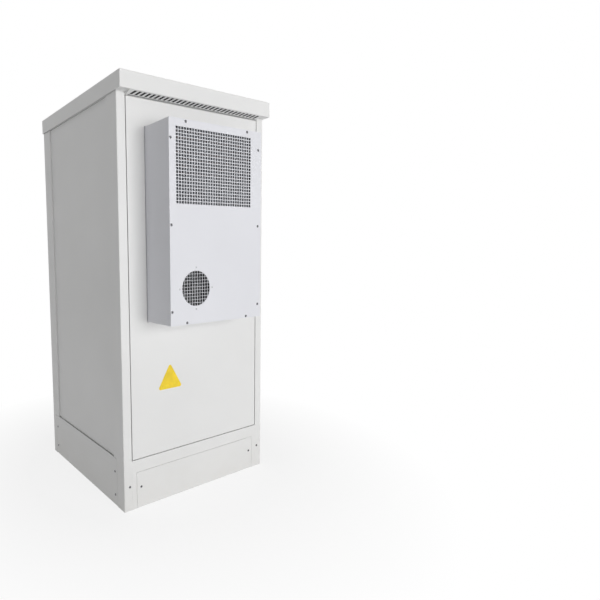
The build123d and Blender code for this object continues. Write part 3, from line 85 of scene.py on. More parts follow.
def colour_property(label, about, default):
    """A colour that a user can change."""
    return FloatVectorProperty(
        name=label, description=about, subtype="COLOR", size=3, min=0.0, max=1.0, default=default
    )


def length_property(label, about, default):
    """A length in metres that a user can change."""
    return FloatProperty(
        name=label, description=about, unit="LENGTH", min=0.0, precision=4, default=default
    )


def share_property(label, about, default, low=0.2, high=0.95):
    """A share that a user can change."""
    return FloatProperty(
        name=label, description=about, subtype="FACTOR", min=low, max=high, default=default
    )


def count_property(label, about, default):
    """A number of holes or slots that a user can change."""
    return IntProperty(name=label, description=about, min=4, max=60, default=default)


def angle_property(label, about, degrees):
    """An angle that a user can change."""
    return FloatProperty(name=label, description=about, unit="ROTATION", default=radians(degrees))


def level_property(label, about, default, unit="NONE"):
    """A power, level or focal length that a user can change."""
    return FloatProperty(name=label, description=about, unit=unit, min=0.0, default=default)


class CabinetFinishes(bpy.types.PropertyGroup):
    """Colours and surface detail of the finishes."""

    cabinet_paint: colour_property("Cabinet paint", "Coat of body and door", (0.745, 0.745, 0.74))
    unit_paint: colour_property("Unit paint", "Coat of the cooling unit", (0.695, 0.70, 0.735))
    galvanised: colour_property("Galvanised steel", "Heavy sheet of the base", (0.66, 0.665, 0.66))
    zinc: colour_property("Zinc plating", "Plated rails, arms and braces", (0.66, 0.67, 0.67))
    yellow_zinc: colour_property("Yellow zinc", "Yellow passivated plating", (0.66, 0.53, 0.25))
    steel: colour_property("Plated steel", "Hinges, lock rods and gear", (0.50, 0.51, 0.52))
    # Oiled steel of the hinge pins; on the unit cover and plinth screws this dark colour is painted
    # shade over bright steel heads
    pin_steel: colour_property("Oiled steel", "Hinge pins and dark screws", (0.16, 0.16, 0.17))
    # Black of the seals; it also colours the sheet behind the vent slots, as painted shade there
    foam: colour_property("Foam", "Closed-cell seals", (0.018, 0.018, 0.019))
    rubber: colour_property("Rubber", "Cable entries", (0.012, 0.012, 0.012))
    # Also colours the wire rings behind the fans, as painted shade there
    black_plastic: colour_property("Black plastic", "Lock and fan parts", (0.016, 0.016, 0.017))
    white_plastic: colour_property("White strip", "Perforated cable strip", (0.72, 0.72, 0.70))
    green_plastic: colour_property("Green plastic", "Plug-in terminals", (0.02, 0.22, 0.06))
    lamp_plastic: colour_property("Lamp cover", "Cover of the ceiling lamp", (0.80, 0.80, 0.78))
    fin_metal: colour_property("Coil fins", "Thin aluminium fins", (0.50, 0.53, 0.57))
    display: colour_property("Display", "Glass of the controller's display", (0.012, 0.016, 0.02))
    copper: colour_property("Copper", "Tubes and pipes of the coils", (0.72, 0.36, 0.22))
    lock_metal: colour_property("Lock metal", "Bright-plated lock parts", (0.66, 0.65, 0.62))
    enamel: colour_property("Black enamel", "Compressor can", (0.02, 0.02, 0.022))
    liner: colour_property("Door liner", "Inner panel of the door", (0.74, 0.74, 0.72))
    yellow_plate: colour_property("Yellow plate", "Blank triangular plate", (0.83, 0.60, 0.015))
    grain: share_property("Powder grain", "Depth of the coat's texture, 1 as real", 1.0, 0.0, 3.0)
    edge_round: length_property("Edge rounding", "Rounding of sheet edges under their coat", 0.0005)


class CabinetSheets(bpy.types.PropertyGroup):
    """Sizes of the punched sheets, plates and fasteners."""

    intake_columns: count_property("Intake columns", "Holes across the air intake", 30)
    intake_rows: count_property("Intake rows", "Holes up the air intake", 23)
    hole_share: share_property("Open share", "Width of an intake hole over its pitch", 0.80)
    outlet_cells: count_property("Outlet cells", "Holes across the round fan outlet", 11)
    outlet_share: share_property("Outlet share", "Width of an outlet hole over its pitch", 0.9)
    vent_slots: count_property("Vent slots", "Slanted slots under the roof's overhang", 31)
    vent_slot_share: share_property("Vent slot share", "Width of a vent slot over its pitch", 0.6)
    fin_pitch: length_property("Fin pitch", "Spacing of the coils' fins", 0.003)
    screw_radius: length_property("Screw radius", "Radius of the unit cover's screw heads", 0.0052)
    panel_screw_radius: length_property("Plinth screw radius", "Radius of their heads", 0.005)
    plate_width: length_property("Triangle width", "Base of the blank triangular plate", 0.121)


class CabinetStudio(bpy.types.PropertyGroup):
    """Camera and light."""

    focal_length: level_property("Focal length", "On a sensor 36 mm wide", 27.96, "CAMERA")
    azimuth: angle_property("Azimuth", "Turn of the view from straight ahead", -33.14)
    elevation: angle_property("Elevation", "Height of the view above the horizon", 5.41)
    roll: angle_property("Roll", "Lean of the camera", -0.90)
    key_power: level_property("Key light", "Power of the large front light", 240.0, "POWER")
    fill_power: level_property("Left light", "Power of the light on the left", 4.8, "POWER")
    surround: level_property("Surround", "Level of the even light from all round", 0.37)


def new_node(tree, kind, **values):
    """Shader node with these values on the sockets they name."""
    node = tree.nodes.new(kind)
    for socket, value in values.items():
        node.inputs[socket].default_value = value
    return node


def combined(tree, operation, first, second):
    """Output of a maths operation on two outputs."""
    node = new_node(tree, "ShaderNodeMath")
    node.operation = operation
    tree.links.new(first, node.inputs[0])
    tree.links.new(second, node.inputs[1])
    return node.outputs[0]


def mix_shaders(tree, share, first, second, output):
    """Sends the mix of two shaders to an output node."""
    mix = new_node(tree, "ShaderNodeMixShader")
    for source, socket in zip((share, first, second), mix.inputs):
        tree.links.new(source, socket)
    tree.links.new(mix.outputs["Shader"], output.inputs["Surface"])


class Finish:
    """A material in the making, with textures laid in the piece's own coordinates in metres."""

    def __init__(self, name, colour, roughness=None, metallic=0.0):
        self.material = bpy.data.materials.new(name)
        self.material.use_nodes = True
        self.tree = self.material.node_tree
        self.tree.nodes.clear()
        self.shader = self.add("ShaderNodeBsdfPrincipled", Metallic=metallic)
        self.output = self.add("ShaderNodeOutputMaterial")
        self.link(self.shader.outputs["BSDF"], self.output.inputs["Surface"])
        self.place = self.add("ShaderNodeTexCoord").outputs["Object"]
        self.colour = tuple(colour)
        self.roughness = roughness
        self.normal = None

    def add(self, kind, **values):
        """Node of this finish with these values on the sockets they name."""
        return new_node(self.tree, kind, **values)

    def link(self, source, target):
        """Joins an output to an input."""
        self.tree.links.new(source, target)

    def stretched(self, *scale):
        """Coordinates scaled along each axis, for grain that runs one way."""
        mapping = self.add("ShaderNodeMapping", Scale=scale)
        self.link(self.place, mapping.inputs["Vector"])
        return mapping.outputs["Vector"]

    def noise(self, per_metre, detail=2.0, place=None, distortion=0.0):
        """Soft noise between 0 and 1, with about this many waves to a metre."""
        node = self.add("ShaderNodeTexNoise", Scale=per_metre, Detail=detail, Distortion=distortion)
        self.link(place or self.place, node.inputs["Vector"])
        return node.outputs["Fac"]

    def cells(self, per_metre, output="Distance"):
        """Cell pattern, for foam, spangle and moulded grain."""
        node = self.add("ShaderNodeTexVoronoi", Scale=per_metre)
        self.link(self.place, node.inputs["Vector"])
        return node.outputs[output]

    def remap(self, value, from_low, from_high, to_low, to_high):
        """The value moved from one range to another."""
        node = self.add("ShaderNodeMapRange")
        for socket, number in zip(node.inputs[1:5], (from_low, from_high, to_low, to_high)):
            socket.default_value = number
        self.link(value, node.inputs["Value"])
        return node.outputs["Result"]

    def paint(self, mask, first, second):
        """Colours the surface between first and second, colours or outputs. Returns the blend."""
        node = self.add("ShaderNodeMix")
        node.data_type = "RGBA"
        self.link(mask, node.inputs[0])
        for socket, colour in ((node.inputs[6], first), (node.inputs[7], second)):
            if isinstance(colour, bpy.types.NodeSocket):
                self.link(colour, socket)
            else:
                socket.default_value = (*colour, 1.0)
        self.link(node.outputs[2], self.shader.inputs["Base Color"])
        return node.outputs[2]

    def patches(self, below, colour, pattern, window, amount):
        """Paints a colour over another, by up to this amount as the pattern crosses the window."""
        return self.paint(self.remap(pattern, *window, 0.0, amount), below, colour)

    def shade(self, *shares):
        """This finish's colour times one share, or times a share for each channel."""
        return tuple(min(1.0, channel * share) for channel, share in zip(self.colour, shares * 3))

    def vary_colour(self, per_metre, spread, detail=3.0):
        """Paints the colour, drifting by this share either way. Returns the blend."""
        pattern = self.noise(per_metre, detail)
        darker, lighter = self.shade(1 - spread), self.shade(1 + spread)
        return self.patches(darker, lighter, pattern, (0.3, 0.7), 1.0)

    def vary_roughness(self, per_metre, spread):
        """Roughness that drifts by this much either way."""
        value = self.noise(per_metre, 3.0)
        low, high = self.roughness - spread, self.roughness + spread
        self.link(self.remap(value, 0.25, 0.75, low, high), self.shader.inputs["Roughness"])

    def emboss(self, height, depth, strength):
        """Bump of this depth in metres. Calls add up."""
        bump = self.add("ShaderNodeBump", Strength=strength, Distance=depth)
        self.link(height, bump.inputs["Height"])
        if self.normal is not None:
            self.link(self.normal, bump.inputs["Normal"])
        self.normal = bump.outputs["Normal"]
        self.link(self.normal, self.shader.inputs["Normal"])


def powder_coat(name, colour, grain, roughness=0.40):
    """Fine-textured powder coat on sheet steel: orange peel, drift of colour and dust low down."""
    finish = Finish(name, colour, roughness)
    clean = finish.vary_colour(2.6, 0.018)
    specked = finish.patches(clean, finish.shade(0.90), finish.noise(620.0), (0.62, 0.75), 0.35)
    height = finish.add("ShaderNodeSeparateXYZ")
    finish.link(finish.place, height.inputs["Vector"])
    low_down = finish.remap(height.outputs["Z"], 0.0, 0.22, 0.30, 0.0)
    dusty = combined(finish.tree, "MULTIPLY", low_down, finish.noise(14.0, 5.0))
    finish.paint(dusty, specked, finish.shade(0.80, 0.76, 0.68))
    finish.vary_roughness(9.0, 0.05)
    finish.emboss(finish.noise(480.0), 0.00012 * grain, 0.5)
    finish.emboss(finish.noise(1900.0, 1.0), 0.00004 * grain, 0.4)
    finish.emboss(finish.noise(3.2, 1.0), 0.0012, 0.25)
    return finish.material


def spangled_zinc(name, colour):
    """Hot-dip galvanised sheet with its crystal spangle and white bloom."""
    finish = Finish(name, colour, metallic=0.35)
    crystal = finish.add("ShaderNodeRGBToBW")
    finish.link(finish.cells(70.0, "Color"), crystal.inputs[0])
    spangle = finish.paint(crystal.outputs[0], finish.shade(0.86), finish.shade(1.14))
    finish.patches(spangle, (0.72, 0.72, 0.71), finish.noise(11.0, 6.0), (0.52, 0.72), 0.6)
    roughness = finish.remap(crystal.outputs[0], 0.0, 1.0, 0.34, 0.52)
    finish.link(roughness, finish.shader.inputs["Roughness"])
    finish.emboss(finish.cells(70.0), 0.00006, 0.5)
    finish.emboss(finish.noise(240.0, 3.0), 0.00005, 0.4)
    return finish.material


def bright_zinc(name, colour):
    """Zinc-plated sheet with rolling marks and a faint straw bloom."""
    finish = Finish(name, colour, 0.42, metallic=0.55)
    drift = finish.vary_colour(7.0, 0.05, 4.0)
    straw = finish.noise(5.0, 3.0, distortion=0.6)
    finish.patches(drift, finish.shade(1.04, 0.99, 0.88), straw, (0.5, 0.75), 0.5)
    finish.vary_roughness(12.0, 0.08)
    finish.emboss(finish.noise(30.0, 3.0, finish.stretched(26.0, 26.0, 1.2)), 0.00004, 0.5)
    finish.emboss(finish.noise(700.0), 0.00003, 0.4)
    return finish.material


def yellow_chromate(name, colour):
    """Yellow passivated plating, which shifts between straw, green and rose."""
    finish = Finish(name, colour, 0.28, metallic=1.0)
    straw = finish.vary_colour(18.0, 0.10, 4.0)
    rose = finish.noise(23.0, 3.0, distortion=1.4)
    warm = finish.patches(straw, (0.66, 0.40, 0.30), rose, (0.5, 0.68), 0.55)
    green = finish.noise(31.0, 3.0, distortion=1.0)
    finish.patches(warm, (0.42, 0.55, 0.24), green, (0.55, 0.72), 0.5)
    finish.vary_roughness(20.0, 0.07)
    finish.emboss(finish.noise(600.0), 0.00004, 0.5)
    return finish.material


def machined_metal(name, colour, roughness, per_metre=900.0):
    """Turned or drawn metal with fine tool marks and darker handled places."""
    finish = Finish(name, colour, roughness, metallic=1.0)
    base = finish.vary_colour(60.0, 0.08)
    finish.patches(base, finish.shade(0.72), finish.noise(28.0, 4.0), (0.55, 0.75), 0.5)
    finish.vary_roughness(70.0, 0.08)
    finish.emboss(finish.noise(per_metre, 2.0, finish.stretched(1.0, 1.0, 0.2)), 0.00003, 0.5)
    return finish.material


def closed_foam(name, colour):
    """Closed-cell foam with small pores."""
    finish = Finish(name, colour, 0.92)
    pores = finish.cells(900.0)
    finish.patches(finish.shade(0.5), finish.shade(1.9), pores, (0.1, 0.5), 1.0)
    finish.vary_roughness(200.0, 0.05)
    finish.emboss(pores, 0.0004, 0.8)
    return finish.material


def moulded(name, colour, roughness, grain_per_metre=1500.0, depth=0.00006):
    """Plastic, rubber or thick coat with fine grain and rubbed, lighter patches."""
    finish = Finish(name, colour, roughness)
    base = finish.vary_colour(24.0, 0.10)
    lighter = tuple(min(1.0, channel * 1.5 + 0.004) for channel in colour)
    finish.patches(base, lighter, finish.noise(38.0, 5.0), (0.58, 0.78), 0.5)
    finish.vary_roughness(30.0, 0.08)
    finish.emboss(finish.cells(grain_per_metre), depth, 0.6)
    finish.emboss(finish.noise(90.0), depth, 0.3)
    return finish.material


def milky_cover(name, colour):
    """Milky lamp cover with fine moulded ribs."""
    finish = Finish(name, colour, 0.30)
    finish.shader.inputs["Subsurface Weight"].default_value = 0.2
    finish.vary_colour(30.0, 0.02)
    finish.vary_roughness(60.0, 0.05)
    ribs = finish.add("ShaderNodeTexWave", Scale=120.0)
    finish.link(finish.place, ribs.inputs["Vector"])
    finish.emboss(ribs.outputs["Fac"], 0.0004, 0.6)
    return finish.material


def thin_fins(name, colour):
    """Aluminium fin stock, dull and slightly bent here and there."""
    finish = Finish(name, colour, 0.42, metallic=0.85)
    finish.vary_colour(35.0, 0.14)
    finish.vary_roughness(50.0, 0.10)
    finish.emboss(finish.noise(260.0, 2.0, finish.stretched(1.0, 1.0, 4.0)), 0.0002, 0.6)
    return finish.material


def gloss_enamel(name, colour):
    """Black stoved enamel with dust settled in patches."""
    finish = Finish(name, colour, 0.22)
    base = finish.vary_colour(20.0, 0.15)
    finish.patches(base, (0.22, 0.21, 0.19), finish.noise(50.0, 5.0), (0.5, 0.8), 0.25)
    finish.vary_roughness(40.0, 0.08)
    finish.emboss(finish.noise(400.0), 0.00006, 0.5)
    return finish.material


def display_glass(name, colour):
    """Dark display glass with faint finger marks."""
    finish = Finish(name, colour, 0.08)
    finish.patches(finish.colour, finish.shade(2.2), finish.noise(120.0, 4.0), (0.5, 0.8), 0.3)
    finish.vary_roughness(90.0, 0.05)
    finish.emboss(finish.noise(60.0), 0.00001, 0.4)
    return finish.material


def make_finishes(colours):
    """Every finish by the record's material slot, or a name of its own if the record has none."""
    grain = colours.grain
    return {
        "cabinet_paint": powder_coat("cabinet_powder_coat", colours.cabinet_paint, grain),
        "unit_paint": powder_coat("unit_powder_coat", colours.unit_paint, grain * 0.7, 0.36),
        "grille_paint": powder_coat("grille_powder_coat", colours.unit_paint, grain * 0.7, 0.38),
        "galvanised": spangled_zinc("galvanised_sheet", colours.galvanised),
        "zinc": bright_zinc("zinc_plating", colours.zinc),
        "yellow_zinc": yellow_chromate("yellow_plating", colours.yellow_zinc),
        "hinge_steel": machined_metal("plated_steel", colours.steel, 0.34),
        "pin_steel": machined_metal("oiled_steel_and_screw_shade", colours.pin_steel, 0.26),
        "foam": closed_foam("seal_foam_and_vent_shade", colours.foam),
        "gland_rubber": moulded("gland_rubber", colours.rubber, 0.55, 600.0, 0.0001),
        "black_plastic": moulded("black_plastic", colours.black_plastic, 0.42),
        "white_plastic": moulded("strip_coat", colours.white_plastic, 0.45),
        "green_plastic": moulded("green_plastic", colours.green_plastic, 0.38),
        "lamp_plastic": milky_cover("lamp_cover", colours.lamp_plastic),
        "lock_metal": machined_metal("lock_nickel", colours.lock_metal, 0.20, 2200.0),
        "fins": thin_fins("coil_fins", colours.fin_metal),
        "compressor_paint": gloss_enamel("black_enamel", colours.enamel),
        "liner": powder_coat("liner_coat", colours.liner, grain * 1.3, 0.5),
        "display_glass": display_glass("display_glass", colours.display),
        "copper": machined_metal("coil_copper", colours.copper, 0.30, 1400.0),
        "yellow_plate": moulded("yellow_plate_coat", colours.yellow_plate, 0.36, 1200.0, 0.00003),
    }


MERGE_DISTANCE = 0.000002
WELD_DISTANCE = 0.00001
SHARP_ANGLE = radians(35.0)


def new_object(name, data):
    """Object in the scene with this mesh, curve, light or camera."""
    thing = bpy.data.objects.new(name, data)
    bpy.context.scene.collection.objects.link(thing)
    return thing


def soften_edges(node, width):
    """Joins a CAD node's faces and rounds its sharp edges, by modifiers: the mesh itself stays."""
    weld = node.modifiers.new("Join faces", "WELD")
    weld.merge_threshold = WELD_DISTANCE
    bevel = node.modifiers.new("Round edges", "BEVEL")
    bevel.width = width
    bevel.segments = 2
    bevel.limit_method = "ANGLE"
    bevel.angle_limit = SHARP_ANGLE
    bevel.harden_normals = True


def mesh_from(bm, name):
    """Mesh with its faces turned outward."""
    bmesh.ops.remove_doubles(bm, verts=bm.verts, dist=MERGE_DISTANCE)
    bmesh.ops.recalc_face_normals(bm, faces=bm.faces)
    mesh = bpy.data.meshes.new(name)
    bm.to_mesh(mesh)
    bm.free()
    return mesh


def new_piece(name, bm, finish_name, body, smooth=False):
    """Piece with this shape and finish, riding on a body."""
    piece = new_object(name, mesh_from(bm, name))
    piece.data.materials.append(FINISH[finish_name])
    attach(piece, body)
    if smooth:
        piece.data.shade_smooth()
    return piece


def front_plane(deep):
    """Drawing plane facing the front: local X runs across and local Y up."""
    return Matrix.Translation(on_body(0, deep, 0)) @ Matrix.Rotation(pi / 2, 4, "X")


def side_plane(across):
    """Drawing plane facing right: local X runs deep and local Y up."""
    turned = Matrix(((0, 0, 1, 0), (1, 0, 0, 0), (0, 1, 0, 0), (0, 0, 0, 1)))
    return Matrix.Translation(on_body(across, 0, 0)) @ turned


def plan_plane(up):
    """Drawing plane facing up: local X runs across and local Y deep."""
    return Matrix.Translation(on_body(0, 0, up))


def rectangle(low, high):
    """Outline between two opposite corners."""
    return [(low[0], low[1]), (high[0], low[1]), (high[0], high[1]), (low[0], high[1])]


def arc(centre, radius, start, sweep, steps):
    """Points along an arc, both its ends included."""
    angles = [start + sweep * step / steps for step in range(steps + 1)]
    return [(centre[0] + radius * cos(angle), centre[1] + radius * sin(angle)) for angle in angles]


def round_loop(centre, radius, steps=48):
    """Outline of a circle."""
    return arc(centre, radius, 0.0, 2 * pi, steps)[:-1]


def directions(steps):
    """Unit directions spread evenly over a full turn."""
    return round_loop((0.0, 0.0), 1.0, steps)


def rounded_loop(centre, width, height, radius, steps=3):
    """Outline of a rectangle with rounded corners."""
    loop = []
    for quarter, (side_x, side_y) in enumerate(((1, 1), (-1, 1), (-1, -1), (1, -1))):
        hub = (
            centre[0] + side_x * (width / 2 - radius),
            centre[1] + side_y * (height / 2 - radius),
        )
        loop += arc(hub, radius, pi / 2 * quarter, pi / 2, steps)
    return loop


def within_circle(loop, radius, steps=96):
    """The part of a convex outline that lies in a circle about the origin."""
    for way_x, way_y in directions(steps):
        beyond = [x * way_x + y * way_y - radius for x, y in loop]
        kept = []
        for number, (point, reach) in enumerate(zip(loop, beyond)):
            before, reach_before = loop[number - 1], beyond[number - 1]
            if (reach > 0) != (reach_before > 0):
                share = reach_before / (reach_before - reach)
                crossing = (start + (end - start) * share for start, end in zip(before, point))
                kept.append(tuple(crossing))
            if reach <= 0:
                kept.append(point)
        loop = kept
    return loop


def without_doubles(loop, nearest):
    """The same outline without points nearer to the one before than this."""
    return [point for number, point in enumerate(loop) if dist(point, loop[number - 1]) > nearest]


def loop_area(loop):
    """Area inside an outline."""
    pairs = zip(loop, loop[1:] + loop[:1])
    return abs(sum(x * far_y - far_x * y for (x, y), (far_x, far_y) in pairs)) / 2


def grid(acrosses, deep, ups):
    """Places at every pair of these at one depth."""
    return [(across, deep, up) for across in acrosses for up in ups]


def bent_path(corners, radius, steps=6):
    """Places along straight runs with rounded corners."""
    corners = [Vector(corner) for corner in corners]
    path = [corners[0]]
    for before, corner, after in zip(corners, corners[1:], corners[2:]):
        start = corner + (before - corner).normalized() * radius
        end = corner + (after - corner).normalized() * radius
        for step in range(steps + 1):
            share = step / steps
            path.append(start.lerp(corner, share).lerp(corner.lerp(end, share), share))
    path.append(corners[-1])
    return path


def join_rings(bm, rings, ends=None):
    """Skin over rings of points, with flat faces on both end rings, or only on the ends given."""
    for end in (rings[0][::-1], rings[-1]) if ends is None else ends:
        bm.faces.new(end)
    for first, second in zip(rings, rings[1:]):
        for step in range(len(first)):
            ahead = (step + 1) % len(first)
            bm.faces.new((first[step], first[ahead], second[ahead], second[step]))


def ring_at(bm, place, points, height):
    """Ring of points at this height over a placed drawing plane."""
    return [bm.verts.new(place @ (Vector((x, y, height)) * MM)) for x, y in points]


def add_prism(bm, outline, depth, plane):
    """Solid with this outline, from the plane forward along its normal."""
    join_rings(bm, [ring_at(bm, plane, outline, height) for height in (0.0, depth)])


def add_turned(bm, profile, place, steps=48, closed=False):
    """Solid of revolution about local Z from (radius, height) points, or a ring if it is closed."""
    rings = [
        ring_at(bm, place, round_loop((0.0, 0.0), radius, steps), height)
        for radius, height in profile
    ]
    if closed:
        join_rings(bm, rings + rings[:1], ends=())
    else:
        join_rings(bm, rings)


def add_tube(bm, path, radius, normal, steps=10):
    """Round tube along places that lie in one plane with this normal."""
    normal = Vector(normal)
    points = [on_body(*place) for place in path]
    rings = []
    for number, point in enumerate(points):
        ahead = points[min(number + 1, len(points) - 1)] - points[max(number - 1, 0)]
        sideways = normal.cross(ahead).normalized()
        reaches = [(normal * x + sideways * y) * radius * MM for x, y in directions(steps)]
        rings.append([bm.verts.new(point + reach) for reach in reaches])
    join_rings(bm, rings)


def add_sheet(bm, outline, holes, thickness, plane):
    """Flat sheet with holes. The plane is that of its middle."""
    curve = bpy.data.curves.new("sheet", "CURVE")
    curve.dimensions = "2D"
    curve.fill_mode = "BOTH"
    curve.extrude = thickness * MM / 2
    for loop in [outline, *holes]:
        spline = curve.splines.new("POLY")
        spline.points.add(len(loop) - 1)
        spline.use_cyclic_u = True
        for point, (x, y) in zip(spline.points, loop):
            point.co = (x * MM, y * MM, 0.0, 1.0)
    shape = new_object("sheet", curve)
    flat = bpy.data.meshes.new_from_object(shape)
    flat.transform(plane)
    bm.from_mesh(flat)
    bpy.data.objects.remove(shape)
    bpy.data.curves.remove(curve)
    bpy.data.meshes.remove(flat)


SCREW_STEPS = 32
SCREW_PROFILE = ((1.0, 0.0), (0.97, 0.45), (0.82, 0.82), (0.5, 1.0), (0.42, 1.0), (0.14, 1.0))
RECESS_ARM_SHARE = 0.42
RECESS_HUB_SHARE = 0.2
RECESS_DEPTH_SHARE = 0.75


def draw_screw(bm, place, radius, height):
    """Low domed head with a cross recess."""
    quarter = SCREW_STEPS // 4
    rings = []
    for share, lift in SCREW_PROFILE:
        ring = []
        for step, (x, y) in enumerate(round_loop((0.0, 0.0), radius * share, SCREW_STEPS)):
            in_arm = share <= RECESS_ARM_SHARE and step % quarter in (0, 1, quarter - 1)
            sunk = RECESS_DEPTH_SHARE if in_arm or share < RECESS_HUB_SHARE else 0.0
            ring += ring_at(bm, place, [(x, y)], height * (lift - sunk))
        rings.append(ring)
    join_rings(bm, rings, ends=rings[-1:])


def draw_bolt(bm, place, size):
    """Hexagon head on a flat washer. The size is the width across corners."""
    bore, rim, washer, head, top = 1.0, 0.72 * size, 0.12 * size, 0.55 * size, 0.43 * size
    washer_top, washer_side, head_side = rim - 0.4, 0.8 * washer, 0.9 * head
    profile = ((bore, 0.0), (rim, 0.0), (rim, washer_side), (washer_top, washer), (bore, washer))
    add_turned(bm, profile, place, steps=28)
    profile = ((size / 2, washer), (size / 2, head_side), (top, head), (bore, head))
    add_turned(bm, profile, place, steps=6)


def fasteners(draw, name, body, places, facing, *sizes, finish_name="hinge_steel"):
    """One piece with a head at each place, all looking along facing."""
    turned = Vector(facing).to_track_quat("Z", "Y").to_matrix().to_4x4()
    bm = bmesh.new()
    for place in places:
        draw(bm, Matrix.Translation(on_body(*place)) @ turned, *sizes)
    return new_piece(name, bm, finish_name, body)


class CABINET_OT_finishes(bpy.types.Operator):
    """Paint every carried-over node with the finish of its slot, and round its edges"""

    bl_idname = "cabinet.finishes"
    bl_label = "Finishes"

    def execute(self, context):
        settings = context.scene.cabinet_finishes
        FINISH.update(make_finishes(settings))
        for name, node in NODES.items():
            node.data.materials.clear()
            node.data.materials.append(FINISH[SLOT_OF[name]])
            soften_edges(node, settings.edge_round)
        return {"FINISHED"}


class CABINET_OT_unit_cover(bpy.types.Operator):
    """Cooling unit's cover: one sheet with the square holes of intake and outlet, and screws"""

    bl_idname = "cabinet.unit_cover"
    bl_label = "Unit cover"

    corner_radius = 3.0
    intake_low = (150.0, 1189.0)
    intake_high = (521.0, 1462.0)
    outlet_centre = (240.0, 880.0)
    outlet_radius = 66.0
    outlet_screw_radius = 78.0
    hole_corner = 1.0
    least_edge = 0.05
    least_hole_area = 4.0
    hole_to_screw = 1.08
    outlet_hole_to_screw = 0.7
    outlet_screw_share = 0.64
    # Across and up
    screw_places = (
        (128, 1418), (128, 1113), (128, 798), (562, 1418), (562, 1116), (562, 798),
        (196, 1481), (500, 1481), (196, 753), (497, 753),
    )
    screw_sink = 1.3
    screw_height = 1.2

    def execute(self, context):
        sheets = context.scene.cabinet_sheets
        low, high = box_mm("ac_front_cover")
        middle, size = (low + high) / 2, high - low
        screw = sheets.screw_radius / MM
        outlet_places = round_loop(self.outlet_centre, self.outlet_screw_radius, 4)
        holes = self.intake_holes(sheets) + self.outlet_holes(sheets)
        for places, share in (
            (self.screw_places, self.hole_to_screw), (outlet_places, self.outlet_hole_to_screw)
        ):
            holes += [round_loop(place, screw * share, steps=24) for place in places]
        outline = rounded_loop((middle.x, middle.z), size.x, size.z, self.corner_radius)
        bm = bmesh.new()
        add_sheet(bm, outline, holes, size.y, front_plane(middle.y))
        piece = new_piece("unit_front_cover", bm, "unit_paint", "door")
        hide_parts("ac_front_cover", "ac_intake_grille", "ac_fan_grille")
        deep = low.y + self.screw_sink
        # The cover screws take the dark oiled steel as painted shade; their heads are bright steel
        for name, places, radius, finish_name in (
            ("unit_cover_screws", self.screw_places, screw, "pin_steel"),
            ("outlet_screws", outlet_places, screw * self.outlet_screw_share, "hinge_steel"),
        ):
            heads = [(across, deep, up) for across, up in places]
            fasteners(
                draw_screw, name, "door", heads, FORWARD, radius, self.screw_height,
                finish_name=finish_name,
            )
        return {"FINISHED"}

    def intake_holes(self, sheets):
        """Square holes with rounded corners, evenly spread over the intake."""
        left, bottom = self.intake_low
        pitch_across = (self.intake_high[0] - left) / sheets.intake_columns
        pitch_up = (self.intake_high[1] - bottom) / sheets.intake_rows
        return [
            rounded_loop(
                (left + pitch_across * (column + 0.5), bottom + pitch_up * (row + 0.5)),
                pitch_across * sheets.hole_share, pitch_up * sheets.hole_share,
                self.hole_corner, steps=2,
            )
            for column in range(sheets.intake_columns)
            for row in range(sheets.intake_rows)
        ]

    def outlet_holes(self, sheets):
        """The same kind of holes inside a circle, over the fan."""
        pitch = 2 * self.outlet_radius / sheets.outlet_cells
        size = pitch * sheets.outlet_share
        half = (sheets.outlet_cells - 1) / 2
        offsets = [(number - half) * pitch for number in range(sheets.outlet_cells)]
        middle_across, middle_up = self.outlet_centre
        holes = []
        for centre in [(across, up) for across in offsets for up in offsets]:
            cell = rounded_loop(centre, size, size, self.hole_corner, steps=2)
            loop = without_doubles(within_circle(cell, self.outlet_radius), self.least_edge)
            if loop_area(loop) >= self.least_hole_area:
                holes.append([(middle_across + x, middle_up + y) for x, y in loop])
        return holes


class CABINET_OT_panel_screws(bpy.types.Operator):
    """Screws of the plinth panels on all four sides"""

    bl_idname = "cabinet.panel_screws"
    bl_label = "Panel screws"

    # Inset from either side, and up
    front_places = ((26, 98), (79, 85))
    side_deeps = (72, 670)
    rear_inset = 77
    low_row, high_row = 44, 142
    height = 1.8

    def execute(self, context):
        radius = context.scene.cabinet_sheets.panel_screw_radius / MM
        wide = box_mm("front_right_post")[1].x
        rear = box_mm("rear_left_post")[1].y
        front_heads = [(x, 0, up) for inset, up in self.front_places for x in (inset, wide - inset)]
        side_rows = [(deep, up) for deep in self.side_deeps for up in (self.high_row, self.low_row)]
        rear_acrosses = (self.rear_inset, wide - self.rear_inset)
        for side, facing, places in (
            ("front", FORWARD, front_heads),
            ("left", LEFTWARD, [(0, deep, up) for deep, up in side_rows]),
            ("right", RIGHTWARD, [(wide, deep, up) for deep, up in side_rows]),
            ("rear", REARWARD, grid(rear_acrosses, rear, (self.low_row, self.high_row))),
        ):
            # Dark oiled steel on the plinth screws is painted shade; their heads are bright steel
            fasteners(
                draw_screw, f"plinth_{side}_screws", "cabinet", places, facing, radius, self.height,
                finish_name="pin_steel",
            )
        return {"FINISHED"}


